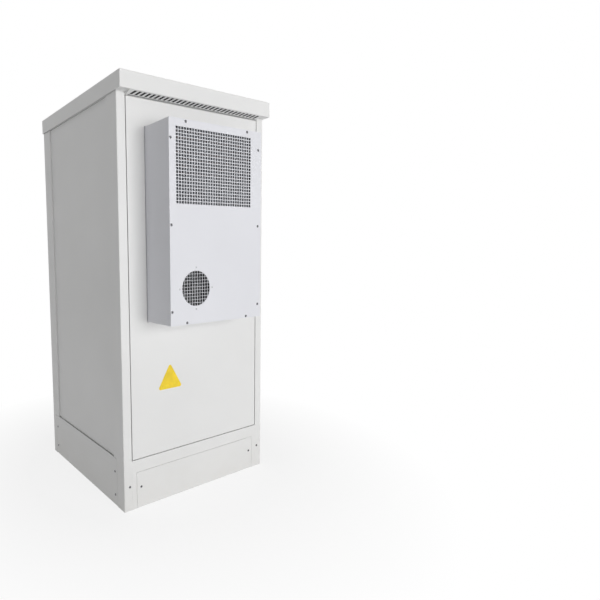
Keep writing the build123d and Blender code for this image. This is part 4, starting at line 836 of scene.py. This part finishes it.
class CABINET_OT_plates(bpy.types.Operator):
    """Blank triangular plate on the door and the bare plate on the unit's inner cover"""

    bl_idname = "cabinet.plates"
    bl_label = "Blank plates"

    triangle_centre = (226.0, 497.0)
    triangle_corner = 7.0
    # Inset from the edge, and height over the door
    triangle_rim = ((0.0, 0.0), (0.0, 0.8), (4.5, 0.8), (5.5, 0.4))
    plate_centre = (303.5, 1378.0)
    plate_size = (65.0, 132.0)
    plate_corner = 3.0
    plate_sheet = 0.8
    rivet_reach = (27.0, 61.0)
    rivet_size = (2.2, 1.0)

    def execute(self, context):
        self.triangle(context.scene.cabinet_sheets.plate_width / MM)
        self.inner_plate()
        return {"FINISHED"}

    def triangle(self, width):
        """Plate with rounded corners and a raised rim, flat against the door."""
        plane = front_plane(box_mm("door_skin")[0].y)
        hub_reach = width / 2 / cos(pi / 6) - 2 * self.triangle_corner
        bm = bmesh.new()
        rings = []
        for inset, height in self.triangle_rim:
            loop = []
            for turn in range(3):
                toward = pi / 2 + turn * 2 * pi / 3
                hub = (
                    self.triangle_centre[0] + hub_reach * cos(toward),
                    self.triangle_centre[1] + hub_reach * sin(toward),
                )
                corner = self.triangle_corner - inset
                loop += arc(hub, corner, toward - pi / 3, 2 * pi / 3, steps=8)
            rings.append(ring_at(bm, plane, loop, height))
        join_rings(bm, rings)
        new_piece("triangle_plate", bm, "yellow_plate", "door")

    def inner_plate(self):
        """Bare plated plate with a rivet at each corner."""
        back = box_mm("ac_inner_cover")[1].y
        across, up = self.plate_centre
        reach, rise = self.rivet_reach
        outline = rounded_loop(self.plate_centre, *self.plate_size, self.plate_corner)
        bm = bmesh.new()
        add_sheet(bm, outline, [], self.plate_sheet, front_plane(back + self.plate_sheet / 2))
        new_piece("inner_plate", bm, "zinc", "door")
        acrosses, ups = (across - reach, across + reach), (up - rise, up + rise)
        rivets = grid(acrosses, back + self.plate_sheet, ups)
        fasteners(draw_screw, "inner_plate_rivets", "door", rivets, REARWARD, *self.rivet_size)


class CABINET_OT_vent_strip(bpy.types.Operator):
    """Sloping strip from the roof's front edge to the door head, with slots, and a black foam sheet
    behind them as painted shade in the vents
    """

    bl_idname = "cabinet.vent_strip"
    bl_label = "Vent strip"

    sheet = 1.0
    end_margin = 42.0
    edge_margin = 0.6
    below_roof = 0.8
    door_head_up = 1591.4
    slot_margin = 8.0
    slot_lean = 11.0
    # Both measured up the slope from the door head
    slot_ends = (8.5, 32.0)
    slit_ends = (1.5, 5.5)
    # Black foam sheet behind the slots and slit, painted shade inside the vents
    shade_sheet_height = 3.0
    filter_side, filter_low, filter_top = 3.0, 0.8, 4.0

    def execute(self, context):
        sheets = context.scene.cabinet_sheets
        low, high = box_mm("roof_vent_strip")
        first, last = low.x + self.end_margin, high.x - self.end_margin
        front, rear = low.y + self.edge_margin, high.y - self.edge_margin
        top = low.z + self.below_roof
        plane, length = self.slope(front, rear, top)
        bm = bmesh.new()
        holes = self.openings(first + self.slot_margin, last - self.slot_margin, sheets)
        add_sheet(bm, rectangle((first, 0.0), (last, length)), holes, self.sheet, plane)
        for across in (first, last - self.sheet):
            corners = ((front, top), (rear, top), (rear, self.door_head_up))
            add_prism(bm, corners, self.sheet, side_plane(across))
        for left, right in ((low.x, first), (last, high.x)):
            outline = rectangle((left, low.y), (right, high.y))
            add_prism(bm, outline, high.z - low.z, plan_plane(low.z))
        piece = new_piece("vent_strip", bm, "cabinet_paint", "cabinet")
        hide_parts("roof_vent_strip")
        # Black foam sheet behind the openings, which stands in for the shade inside the vents
        bm = bmesh.new()
        shade_low = (first + self.filter_side, self.filter_low)
        shade_high = (last - self.filter_side, length - self.filter_top)
        behind = Matrix.Translation((0.0, 0.0, -(self.sheet / 2 + self.shade_sheet_height) * MM))
        add_prism(bm, rectangle(shade_low, shade_high), self.shade_sheet_height, plane @ behind)
        new_piece("vent_shade_sheet", bm, "foam", "cabinet")
        return {"FINISHED"}

    def openings(self, start, end, sheets):
        """One long slit above the door head, and the row of leaning slots over it."""
        lean = self.slot_lean
        pitch = (end - start - lean) / sheets.vent_slots
        near, far = self.slot_ends
        holes = [rectangle((start, self.slit_ends[0]), (end, self.slit_ends[1]))]
        for number in range(sheets.vent_slots):
            left = start + (number + 0.5 - sheets.vent_slot_share / 2) * pitch
            right = left + sheets.vent_slot_share * pitch
            holes.append([(left, near), (right, near), (right + lean, far), (left + lean, far)])
        return holes

    def slope(self, front, rear, top):
        """Plane of the sloping sheet, local Y running up from the door head, and its length."""
        run = Vector((0.0, front - rear, top - self.door_head_up))
        along = run.normalized()
        across = Vector(RIGHTWARD)
        turned = Matrix((across, along, across.cross(along))).transposed().to_4x4()
        return Matrix.Translation(on_body(0.0, rear, self.door_head_up)) @ turned, run.length


class CABINET_OT_coils(bpy.types.Operator):
    """Condenser and evaporator: fins, two rows of tube with return bends, plates and baffles"""

    bl_idname = "cabinet.coils"
    bl_label = "Coils"

    side_space = 20.0
    plate = 1.5
    fin_thickness = 0.35
    tube_pitch = 25.0
    tube_radius = 3.5
    tube_end = 2.0
    tube_columns = (9.0, 24.0)

    def execute(self, context):
        pitch = context.scene.cabinet_sheets.fin_pitch / MM
        for name in ("condenser", "evaporator"):
            low, high = box_mm(f"{name}_coil")
            left, right = low.x + self.side_space, high.x - self.side_space
            if name == "condenser":
                baffle = high.y - self.plate
                tube_deeps = [low.y + column for column in self.tube_columns]
            else:
                baffle = low.y + 2 * self.plate
                tube_deeps = [high.y - column for column in self.tube_columns]
            self.fins(name, low, high, left, right, pitch)
            self.casing(name, low, high, left, right, baffle)
            tube_ends = (left - self.tube_end, right + self.tube_end)
            self.tubes(name, low.z, high.z, tube_ends, tube_deeps)
        return {"FINISHED"}

    def fins(self, name, low, high, left, right, pitch):
        """Upright fins between the top and bottom plates."""
        count = int((right - left) / pitch)
        start = (left + right - (count - 1) * pitch) / 2
        outline = rectangle((low.y, low.z + self.plate), (high.y, high.z - self.plate))
        bm = bmesh.new()
        for number in range(count):
            add_prism(bm, outline, self.fin_thickness, side_plane(start + number * pitch))
        new_piece(f"{name}_fins", bm, "fins", "door")

    def casing(self, name, low, high, left, right, baffle):
        """Plates round the fins, and a baffle on either side that reaches the unit's casing."""
        bm = bmesh.new()
        for up in (low.z, high.z - self.plate):
            add_prism(bm, rectangle((left, low.y), (right, high.y)), self.plate, plan_plane(up))
        for first, last in ((low.x, left), (right, high.x)):
            outline = rectangle((first, low.z), (last, high.z))
            add_prism(bm, outline, self.plate, front_plane(baffle))
        for across in (left, right - self.plate):
            outline = rectangle((low.y, low.z), (high.y, high.z))
            add_prism(bm, outline, self.plate, side_plane(across))
        piece = new_piece(f"{name}_frame", bm, "zinc", "door")
        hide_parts(f"{name}_coil")

    def tubes(self, name, low_up, high_up, ends, deeps):
        """Serpentine tube at each depth, its bends standing out past the end plates."""
        rows = int((high_up - low_up) / self.tube_pitch)
        first_up = (low_up + high_up - (rows - 1) * self.tube_pitch) / 2
        bend = self.tube_pitch / 2
        bm = bmesh.new()
        for deep in deeps:
            path = []
            for row in range(rows):
                up = first_up + row * self.tube_pitch
                start, stop = ends if row % 2 == 0 else ends[::-1]
                path.append((start, up))
                if row == rows - 1:
                    path.append((stop, up))
                else:
                    sweep = pi if stop > start else -pi
                    path += arc((stop, up + bend), bend, -pi / 2, sweep, steps=8)
            add_tube(bm, [(across, deep, up) for across, up in path], self.tube_radius, REARWARD)
        new_piece(f"{name}_tubes", bm, "copper", "door", smooth=True)


class CABINET_OT_fan_shade_rings(bpy.types.Operator):
    """Black wire rings on three spokes behind both fans, painted shade in the view between the blades
    """

    bl_idname = "cabinet.fan_guards"
    bl_label = "Fan guards"

    wire = 1.1
    first_ring = 26.0
    ring_step = 6.0
    rings = 7
    spoke_end = 6.0
    set_back = 12.5

    def execute(self, context):
        radii = [self.first_ring + number * self.ring_step for number in range(self.rings)]
        # Black rings behind each fan stand in for the shade seen between its blades
        for name, fan, face, away in (
            ("outlet_fan_shade_rings", "condenser_fan", 1, self.set_back),
            ("return_fan_shade_rings", "evaporator_fan", 0, -self.set_back),
        ):
            box = box_mm(fan)
            middle = (box[0] + box[1]) / 2
            deep = box[face].y + away
            hub = Matrix.Translation(on_body(middle.x, deep, middle.z))
            place = hub @ Matrix.Rotation(pi / 2, 4, "X")
            bm = bmesh.new()
            for radius in radii:
                wire = round_loop((radius, 0.0), self.wire, steps=8)
                add_turned(bm, wire, place, closed=True)
            for turn in range(3):
                angle = pi / 2 + turn * 2 * pi / 3
                spoke = [
                    (middle.x + reach * cos(angle), deep, middle.z + reach * sin(angle))
                    for reach in (radii[0] - self.spoke_end, radii[-1])
                ]
                add_tube(bm, spoke, self.wire, REARWARD, steps=8)
            new_piece(name, bm, "black_plastic", "door", smooth=True)
        return {"FINISHED"}


class CABINET_OT_rails(bpy.types.Operator):
    """Mounting rails with rows of square holes, three to a rack unit, and slots in their webs"""

    bl_idname = "cabinet.rails"
    bl_label = "Mounting rails"

    sheet = 2.0
    face_width = 22.0
    rack_unit = 44.45
    hole = 9.5
    hole_steps = (0.0, 15.875, 31.75)
    hole_inset = 14.4
    first_hole = 14.0
    slot_width, slot_height, slot_corner = 8.0, 24.0, 3.998
    slot_pitch = 88.9

    def execute(self, context):
        half = self.sheet / 2
        for side in ("front", "rear"):
            low, high = box_mm(f"{side}_rack_rails")
            if side == "front":
                face, web_start, web_end = low.y + half, low.y + self.sheet, high.y
            else:
                face, web_start, web_end = high.y - half, low.y, high.y - self.sheet
            slots = self.web_slots((web_start + web_end) / 2, low.z, high.z)
            bm = bmesh.new()
            for edge, inward in ((low.x, 1), (high.x, -1)):
                left, right = sorted((edge, edge + inward * self.face_width))
                holes = self.face_holes(edge + inward * self.hole_inset, low.z, high.z)
                outline = rectangle((left, low.z), (right, high.z))
                add_sheet(bm, outline, holes, self.sheet, front_plane(face))
                outline = rectangle((web_start, low.z), (web_end, high.z))
                add_sheet(bm, outline, slots, self.sheet, side_plane(edge + inward * half))
            piece = new_piece(f"{side}_rails", bm, "zinc", "cabinet")
            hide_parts(f"{side}_rack_rails")
        return {"FINISHED"}

    def face_holes(self, centre, low_up, high_up):
        """Square holes up one face."""
        units = int((high_up - low_up - 2 * self.first_hole) / self.rack_unit)
        start = low_up + self.first_hole
        half = self.hole / 2
        ups = [
            start + unit * self.rack_unit + step
            for unit in range(units) for step in self.hole_steps
        ]
        return [rectangle((centre - half, up - half), (centre + half, up + half)) for up in ups]

    def web_slots(self, middle, low_up, high_up):
        """Round-ended slots up one web."""
        count = int((high_up - low_up) / self.slot_pitch)
        first = (low_up + high_up - (count - 1) * self.slot_pitch) / 2
        return [
            rounded_loop(
                (middle, first + number * self.slot_pitch),
                self.slot_width, self.slot_height, self.slot_corner,
            )
            for number in range(count)
        ]


class CABINET_OT_glands(bpy.types.Operator):
    """Stepped rubber cable entries in the floor plate"""

    bl_idname = "cabinet.glands"
    bl_label = "Cable entries"

    places_across = (90.0, 199.0, 257.5, 316.0, 434.0, 492.5, 551.0, 660.0)
    steps = 6
    base, base_height = 26.0, 3.0
    tip = 10.0
    neck = 10.0
    collar = 14.0
    bore, mouth = 4.0, 3.0
    floor_sheet = 2.0
    edge = 1.0
    lip, taper = 0.8, 0.6

    def execute(self, context):
        low, high = box_mm("cable_glands")
        floor = box_mm("floor_plate")[1].z
        foot, height = low.z - floor, high.z - floor
        edge = self.edge
        profile = [
            (self.bore, foot + edge), (self.collar - edge, foot), (self.collar, foot + edge),
            (self.collar, -self.floor_sheet), (self.neck, -self.floor_sheet), (self.neck, 0.0),
            (self.base, 0.0), (self.base, self.base_height - edge),
            (self.base - edge, self.base_height),
        ]
        rise = (height - self.base_height) / self.steps
        for step in range(self.steps):
            radius = self.base + (self.tip - self.base) * (step + 1) / (self.steps + 1)
            ledge = self.base_height + rise * step
            profile += [
                (radius + self.lip, ledge), (radius, ledge + edge),
                (radius - self.taper, ledge + rise),
            ]
        mouth_up = height - edge
        profile += [(self.tip - self.mouth, height), (self.mouth, mouth_up), (edge, mouth_up)]
        deep = (low.y + high.y) / 2
        bm = bmesh.new()
        for across in self.places_across:
            add_turned(bm, profile, Matrix.Translation(on_body(across, deep, floor)))
        piece = new_piece("stepped_entries", bm, "gland_rubber", "cabinet")
        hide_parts("cable_glands")
        return {"FINISHED"}


class CABINET_OT_bay_fasteners(bpy.types.Operator):
    """Bolts of the rails, studs of the earthing plate and rivets of the cable strip"""

    bl_idname = "cabinet.bay_fasteners"
    bl_label = "Bay fasteners"

    brace_heights = (349.0, 596.0, 892.0, 1191.0, 1509.0)
    below_brace = 12.0
    rail_sheet = 2.0
    rail_bolt = 11.0
    bolt_inset = 14.0
    stud = 13.0
    stud_acrosses = (19.0, 57.0)
    stud_inset = 23.0
    rivet_size = (3.0, 1.4)
    rivet_across = 62.0
    rivet_inset = 9.0

    def execute(self, context):
        low, high = box_mm("front_rack_rails")
        deeps = (low.y + self.bolt_inset, box_mm("rear_rack_rails")[1].y - self.bolt_inset)
        ups = [up - self.below_brace for up in self.brace_heights]
        for side, across, facing in (
            ("left", low.x + self.rail_sheet, RIGHTWARD),
            ("right", high.x - self.rail_sheet, LEFTWARD),
        ):
            places = [(across, deep, up) for deep in deeps for up in ups]
            fasteners(draw_bolt, f"{side}_rail_bolts", "cabinet", places, facing, self.rail_bolt)
        low, high = box_mm("earth_plate")
        ups = (low.z + self.stud_inset, high.z - self.stud_inset)
        studs = grid([low.x + across for across in self.stud_acrosses], low.y, ups)
        fasteners(
            draw_bolt, "earth_studs", "cabinet", studs, FORWARD, self.stud,
            finish_name="yellow_zinc",
        )
        low, high = box_mm("cable_strip")
        ups = (low.z + self.rivet_inset, high.z - self.rivet_inset)
        rivets = grid((self.rivet_across,), low.y, ups)
        fasteners(draw_screw, "strip_rivets", "cabinet", rivets, FORWARD, *self.rivet_size)
        return {"FINISHED"}


class CABINET_OT_door_fasteners(bpy.types.Operator):
    """Screws and nuts inside the door: unit cover, hinges, lock, gear case and blank panel"""

    bl_idname = "cabinet.door_fasteners"
    bl_label = "Door fasteners"

    cover_edge, cover_corner, cover_end = 7.0, 14.0, 110.0
    hinge_heights = (357.0, 898.0, 1442.0)
    # Across, deep, and reach above and below the hinge's middle
    frame_leaf = (68.5, 33.0, 24.0)
    door_leaf = (65.0, 5.0, 11.0)
    lock_insets = (7.0, 8.0)
    case_reach = (22.0, 11.0)
    panel_deep = 12.0
    panel_insets = (9.0, 14.0)
    knockout_centre = (258.0, 519.0)
    knockout_reach = 81.0
    # Radius and height of a screw's head, or width of a nut
    head_sizes = {
        "inner_cover_screws": (3.8, 1.8),
        "hinge_frame_screws": (4.0, 1.4),
        "hinge_door_screws": (3.6, 1.2),
        "lock_housing_screws": (3.2, 1.6),
        "gear_case_screws": (1.7, 0.9),
        "panel_nuts": (12.0,),
        "panel_screws": (3.6, 1.6),
    }

    def execute(self, context):
        lock_low, lock_high = box_mm("lock_housing")
        case_low, case_high = box_mm("lock_gear_case")
        case = (case_low + case_high) / 2
        case_across, case_up = self.case_reach
        panel = box_mm("door_insulation_panel")
        (across, up), reach = self.knockout_centre, self.knockout_reach
        nuts = grid((across - reach, across + reach), self.panel_deep, (up - reach, up + reach))
        frame_leaf = self.leaf_places(*self.frame_leaf)
        door_leaf = self.leaf_places(*self.door_leaf)
        lock_screws = self.corners(lock_low, lock_high, *self.lock_insets, lock_high.y)
        case_screws = self.corners(case, case, -case_across, -case_up, case_high.y)
        panel_screws = self.corners(*panel, *self.panel_insets, self.panel_deep)
        for draw, name, body, facing, heads in (
            (draw_screw, "inner_cover_screws", "door", REARWARD, self.cover_places()),
            (draw_screw, "hinge_frame_screws", "cabinet", FORWARD, frame_leaf),
            (draw_screw, "hinge_door_screws", "door", REARWARD, door_leaf),
            (draw_screw, "lock_housing_screws", "door", REARWARD, lock_screws),
            (draw_screw, "gear_case_screws", "door", REARWARD, case_screws),
            (draw_bolt, "panel_nuts", "door", REARWARD, nuts),
            (draw_screw, "panel_screws", "door", REARWARD, panel_screws),
        ):
            fasteners(draw, name, body, heads, facing, *self.head_sizes[name])
        return {"FINISHED"}

    def cover_places(self):
        """Places round the edge of the unit's inner cover."""
        low, high = box_mm("ac_inner_cover")
        edge, corner, end = self.cover_edge, self.cover_corner, self.cover_end
        side_ups = (low.z + corner, (low.z + high.z) / 2, high.z - corner)
        sides = grid((low.x + edge, high.x - edge), high.y, side_ups)
        return sides + grid((low.x + end, high.x - end), high.y, (low.z + edge, high.z - edge))

    def leaf_places(self, across, deep, reach):
        """Two places on a leaf of each hinge, this far above and below its middle."""
        ups = [up + step for up in self.hinge_heights for step in (-reach, reach)]
        return grid((across,), deep, ups)

    def corners(self, low, high, inset_across, inset_up, deep):
        """Four places inset from the corners of a box, at one depth."""
        acrosses = (low.x + inset_across, high.x - inset_across)
        return grid(acrosses, deep, (low.z + inset_up, high.z - inset_up))


class CABINET_OT_controller(bpy.types.Operator):
    """Display glass and key caps of the unit's controller"""

    bl_idname = "cabinet.controller"
    bl_label = "Controller"

    screen_margin = 6.4
    screen_height = 27.2
    screen_below_top = 20.0
    screen_deep = -1.8
    glass, glass_corner = 0.7, 1.0
    keys_below_top = 34.0
    key, key_corner = 7.0, 1.6
    key_pitch = 16.0
    key_lift = 0.5
    key_height = 0.6

    def execute(self, context):
        low, high = box_mm("ac_controller")
        across = (low.x + high.x) / 2
        width = high.x - low.x - 2 * self.screen_margin
        centre = (across, high.z - self.screen_below_top)
        outline = rounded_loop(centre, width, self.screen_height, self.glass_corner)
        bm = bmesh.new()
        add_prism(bm, outline, self.glass, front_plane(high.y + self.screen_deep))
        new_piece("controller_glass", bm, "display_glass", "door")
        keys_up = low.z + (high.z - low.z - self.keys_below_top) / 2
        bm = bmesh.new()
        for step in (-1, 0, 1):
            centre = (across + step * self.key_pitch, keys_up)
            cap = rounded_loop(centre, self.key, self.key, self.key_corner)
            add_prism(bm, cap, self.key_height, front_plane(high.y + self.key_lift))
        new_piece("controller_keys", bm, "white_plastic", "door")
        return {"FINISHED"}


class CABINET_OT_pipes(bpy.types.Operator):
    """Copper pipes from the compressor to the condenser and to the evaporator"""

    bl_idname = "cabinet.pipes"
    bl_label = "Refrigerant pipes"

    radius = 4.0
    bend = 14.0
    into_compressor = 4.0
    hot_acrosses = (468.0, 558.0)
    hot_behind_face = 24.0
    hot_rise = 190.0
    hot_into_coil = 20.0
    cold_across = 495.0
    cold_deeps = (-85.0, -5.0)
    cold_over_coil = 22.0
    cold_into_coil = 4.0

    def execute(self, context):
        start_up = box_mm("compressor")[1].z - self.into_compressor
        condenser, evaporator = box_mm("condenser_coil")[0], box_mm("evaporator_coil")[1]
        deep = condenser.y + self.hot_behind_face
        start, stop = self.hot_acrosses
        top = start_up + self.hot_rise
        hot = (
            (start, deep, start_up), (start, deep, top), (stop, deep, top),
            (stop, deep, condenser.z + self.hot_into_coil),
        )
        across = self.cold_across
        start, stop = self.cold_deeps
        top = evaporator.z + self.cold_over_coil
        cold = (
            (across, start, start_up), (across, start, top), (across, stop, top),
            (across, stop, evaporator.z - self.cold_into_coil),
        )
        bm = bmesh.new()
        for corners, normal in ((hot, REARWARD), (cold, RIGHTWARD)):
            add_tube(bm, bent_path(corners, self.bend), self.radius, normal, steps=14)
        new_piece("refrigerant_pipes", bm, "copper", "door", smooth=True)
        return {"FINISHED"}


class CABINET_OT_stage(bpy.types.Operator):
    """Pale floor, even surround, large soft lights and the camera at the photograph's angle"""

    bl_idname = "cabinet.stage"
    bl_label = "Studio"

    camera_place = on_body(-858.3, -1519.7, 1013.3)
    shift = (0.25, -0.0043)
    floor_radius = 9.0
    floor_colour = (0.9, 0.9, 0.9)
    fade_from, fade_to = 0.6, 1.3
    fade_start = 0.80
    # Place, target and width of each lamp in metres
    key_light = ((0.7, -6.2, 1.1), (0.0, 0.0, 0.8), 3.4)
    left_light = ((-4.2, -1.2, 1.0), (-0.375, 0.0, 0.8), 1.8)

    def execute(self, context):
        studio = context.scene.cabinet_studio
        self.floor()
        self.surround(context, studio.surround)
        self.lamp("key_light", *self.key_light, studio.key_power)
        self.lamp("left_light", *self.left_light, studio.fill_power)
        self.camera(context, studio)
        context.scene.view_settings.view_transform = "Standard"
        return {"FINISHED"}

    def seen_rays(self, tree):
        """Output that is 1 where the camera, a reflection or a view through glass looks, else 0."""
        rays = new_node(tree, "ShaderNodeLightPath").outputs
        mirrored = combined(tree, "MAXIMUM", rays["Is Glossy Ray"], rays["Is Transmission Ray"])
        return combined(tree, "MAXIMUM", rays["Is Camera Ray"], mirrored)

    def floor(self):
        """Round floor that fades into the white surround, and keeps the cabinet's shadow."""
        bm = bmesh.new()
        bmesh.ops.create_circle(bm, cap_ends=True, radius=self.floor_radius, segments=96)
        floor = new_object("studio_floor", mesh_from(bm, "studio_floor"))
        finish = Finish("studio_floor", self.floor_colour, 0.85)
        finish.vary_colour(1.5, 0.01)
        finish.vary_roughness(5.0, 0.05)
        finish.emboss(finish.noise(60.0, 3.0), 0.0005, 0.2)
        glow = finish.add("ShaderNodeEmission", Color=WHITE, Strength=1.0)
        distance = finish.add("ShaderNodeVectorMath")
        distance.operation = "LENGTH"
        finish.link(finish.place, distance.inputs[0])
        fade = finish.remap(
            distance.outputs["Value"], self.fade_from, self.fade_to, self.fade_start, 1.0
        )
        share = combined(finish.tree, "MULTIPLY", fade, self.seen_rays(finish.tree))
        plain, white = finish.shader.outputs["BSDF"], glow.outputs["Emission"]
        mix_shaders(finish.tree, share, plain, white, finish.output)
        floor.data.materials.append(finish.material)

    def surround(self, context, level):
        """White where the camera or a reflection looks, and plain even light everywhere else."""
        world = bpy.data.worlds.new("studio_surround")
        world.use_nodes = True
        tree = world.node_tree
        tree.nodes.clear()
        lit, seen = [
            new_node(tree, "ShaderNodeBackground", Color=WHITE, Strength=strength).outputs[0]
            for strength in (level, 1.0)
        ]
        mix_shaders(tree, self.seen_rays(tree), lit, seen, new_node(tree, "ShaderNodeOutputWorld"))
        context.scene.world = world

    def lamp(self, name, place, target, size, power):
        """Square soft light that looks at a target."""
        light = bpy.data.lights.new(name, "AREA")
        light.shape = "SQUARE"
        light.size = size
        light.energy = power
        lamp = new_object(name, light)
        lamp.location = place
        lamp.rotation_euler = (Vector(target) - Vector(place)).to_track_quat("-Z", "Y").to_euler()

    def camera(self, context, studio):
        """Camera with the photograph's place, direction, lean and framing."""
        turn, rise, lean = studio.azimuth, studio.elevation, studio.roll
        forward = Vector((-sin(turn) * cos(rise), cos(turn) * cos(rise), -sin(rise)))
        level = Vector((cos(turn), sin(turn), 0.0))
        upright = level.cross(forward)
        across = level * cos(lean) + upright * sin(lean)
        up = upright * cos(lean) - level * sin(lean)
        data = bpy.data.cameras.new("photo_camera")
        data.sensor_width = 36.0
        data.lens = studio.focal_length
        data.shift_x, data.shift_y = self.shift
        camera = new_object("photo_camera", data)
        axes = Matrix((across, up, -forward)).transposed().to_4x4()
        camera.matrix_world = Matrix.Translation(self.camera_place) @ axes
        context.scene.camera = camera


PIECES = (
    CABINET_OT_finishes,
    CABINET_OT_unit_cover,
    CABINET_OT_panel_screws,
    CABINET_OT_plates,
    CABINET_OT_vent_strip,
    CABINET_OT_coils,
    CABINET_OT_fan_shade_rings,
    CABINET_OT_rails,
    CABINET_OT_glands,
    CABINET_OT_bay_fasteners,
    CABINET_OT_door_fasteners,
    CABINET_OT_controller,
    CABINET_OT_pipes,
    CABINET_OT_stage,
)


class CABINET_PT_sidebar(bpy.types.Panel):
    """Sizes and colours of the cabinet's dressing, and the buttons that make its pieces"""

    bl_idname = "CABINET_PT_sidebar"
    bl_label = "Equipment cabinet"
    bl_space_type = "VIEW_3D"
    bl_region_type = "UI"
    bl_category = "Cabinet"

    def draw(self, context):
        layout = self.layout
        scene = context.scene
        for title, group in (
            ("Finishes", scene.cabinet_finishes),
            ("Sheets", scene.cabinet_sheets),
            ("Studio", scene.cabinet_studio),
        ):
            box = layout.box()
            box.label(text=title)
            for name in group.__annotations__:
                box.prop(group, name)
        for piece in PIECES:
            layout.operator(piece.bl_idname)


CLASSES = (CabinetFinishes, CabinetSheets, CabinetStudio, *PIECES, CABINET_PT_sidebar)


def register():
    for cls in CLASSES:
        bpy.utils.register_class(cls)
    bpy.types.Scene.cabinet_finishes = PointerProperty(type=CabinetFinishes)
    bpy.types.Scene.cabinet_sheets = PointerProperty(type=CabinetSheets)
    bpy.types.Scene.cabinet_studio = PointerProperty(type=CabinetStudio)


def unregister():
    del bpy.types.Scene.cabinet_studio
    del bpy.types.Scene.cabinet_sheets
    del bpy.types.Scene.cabinet_finishes
    for cls in reversed(CLASSES):
        bpy.utils.unregister_class(cls)


def main():
    register()
    bpy.ops.cabinet.finishes()
    bpy.ops.cabinet.unit_cover()
    bpy.ops.cabinet.panel_screws()
    bpy.ops.cabinet.plates()
    bpy.ops.cabinet.vent_strip()
    bpy.ops.cabinet.coils()
    bpy.ops.cabinet.fan_guards()
    bpy.ops.cabinet.rails()
    bpy.ops.cabinet.glands()
    bpy.ops.cabinet.bay_fasteners()
    bpy.ops.cabinet.door_fasteners()
    bpy.ops.cabinet.controller()
    bpy.ops.cabinet.pipes()
    bpy.ops.cabinet.stage()


if __name__ == "__main__":
    main()
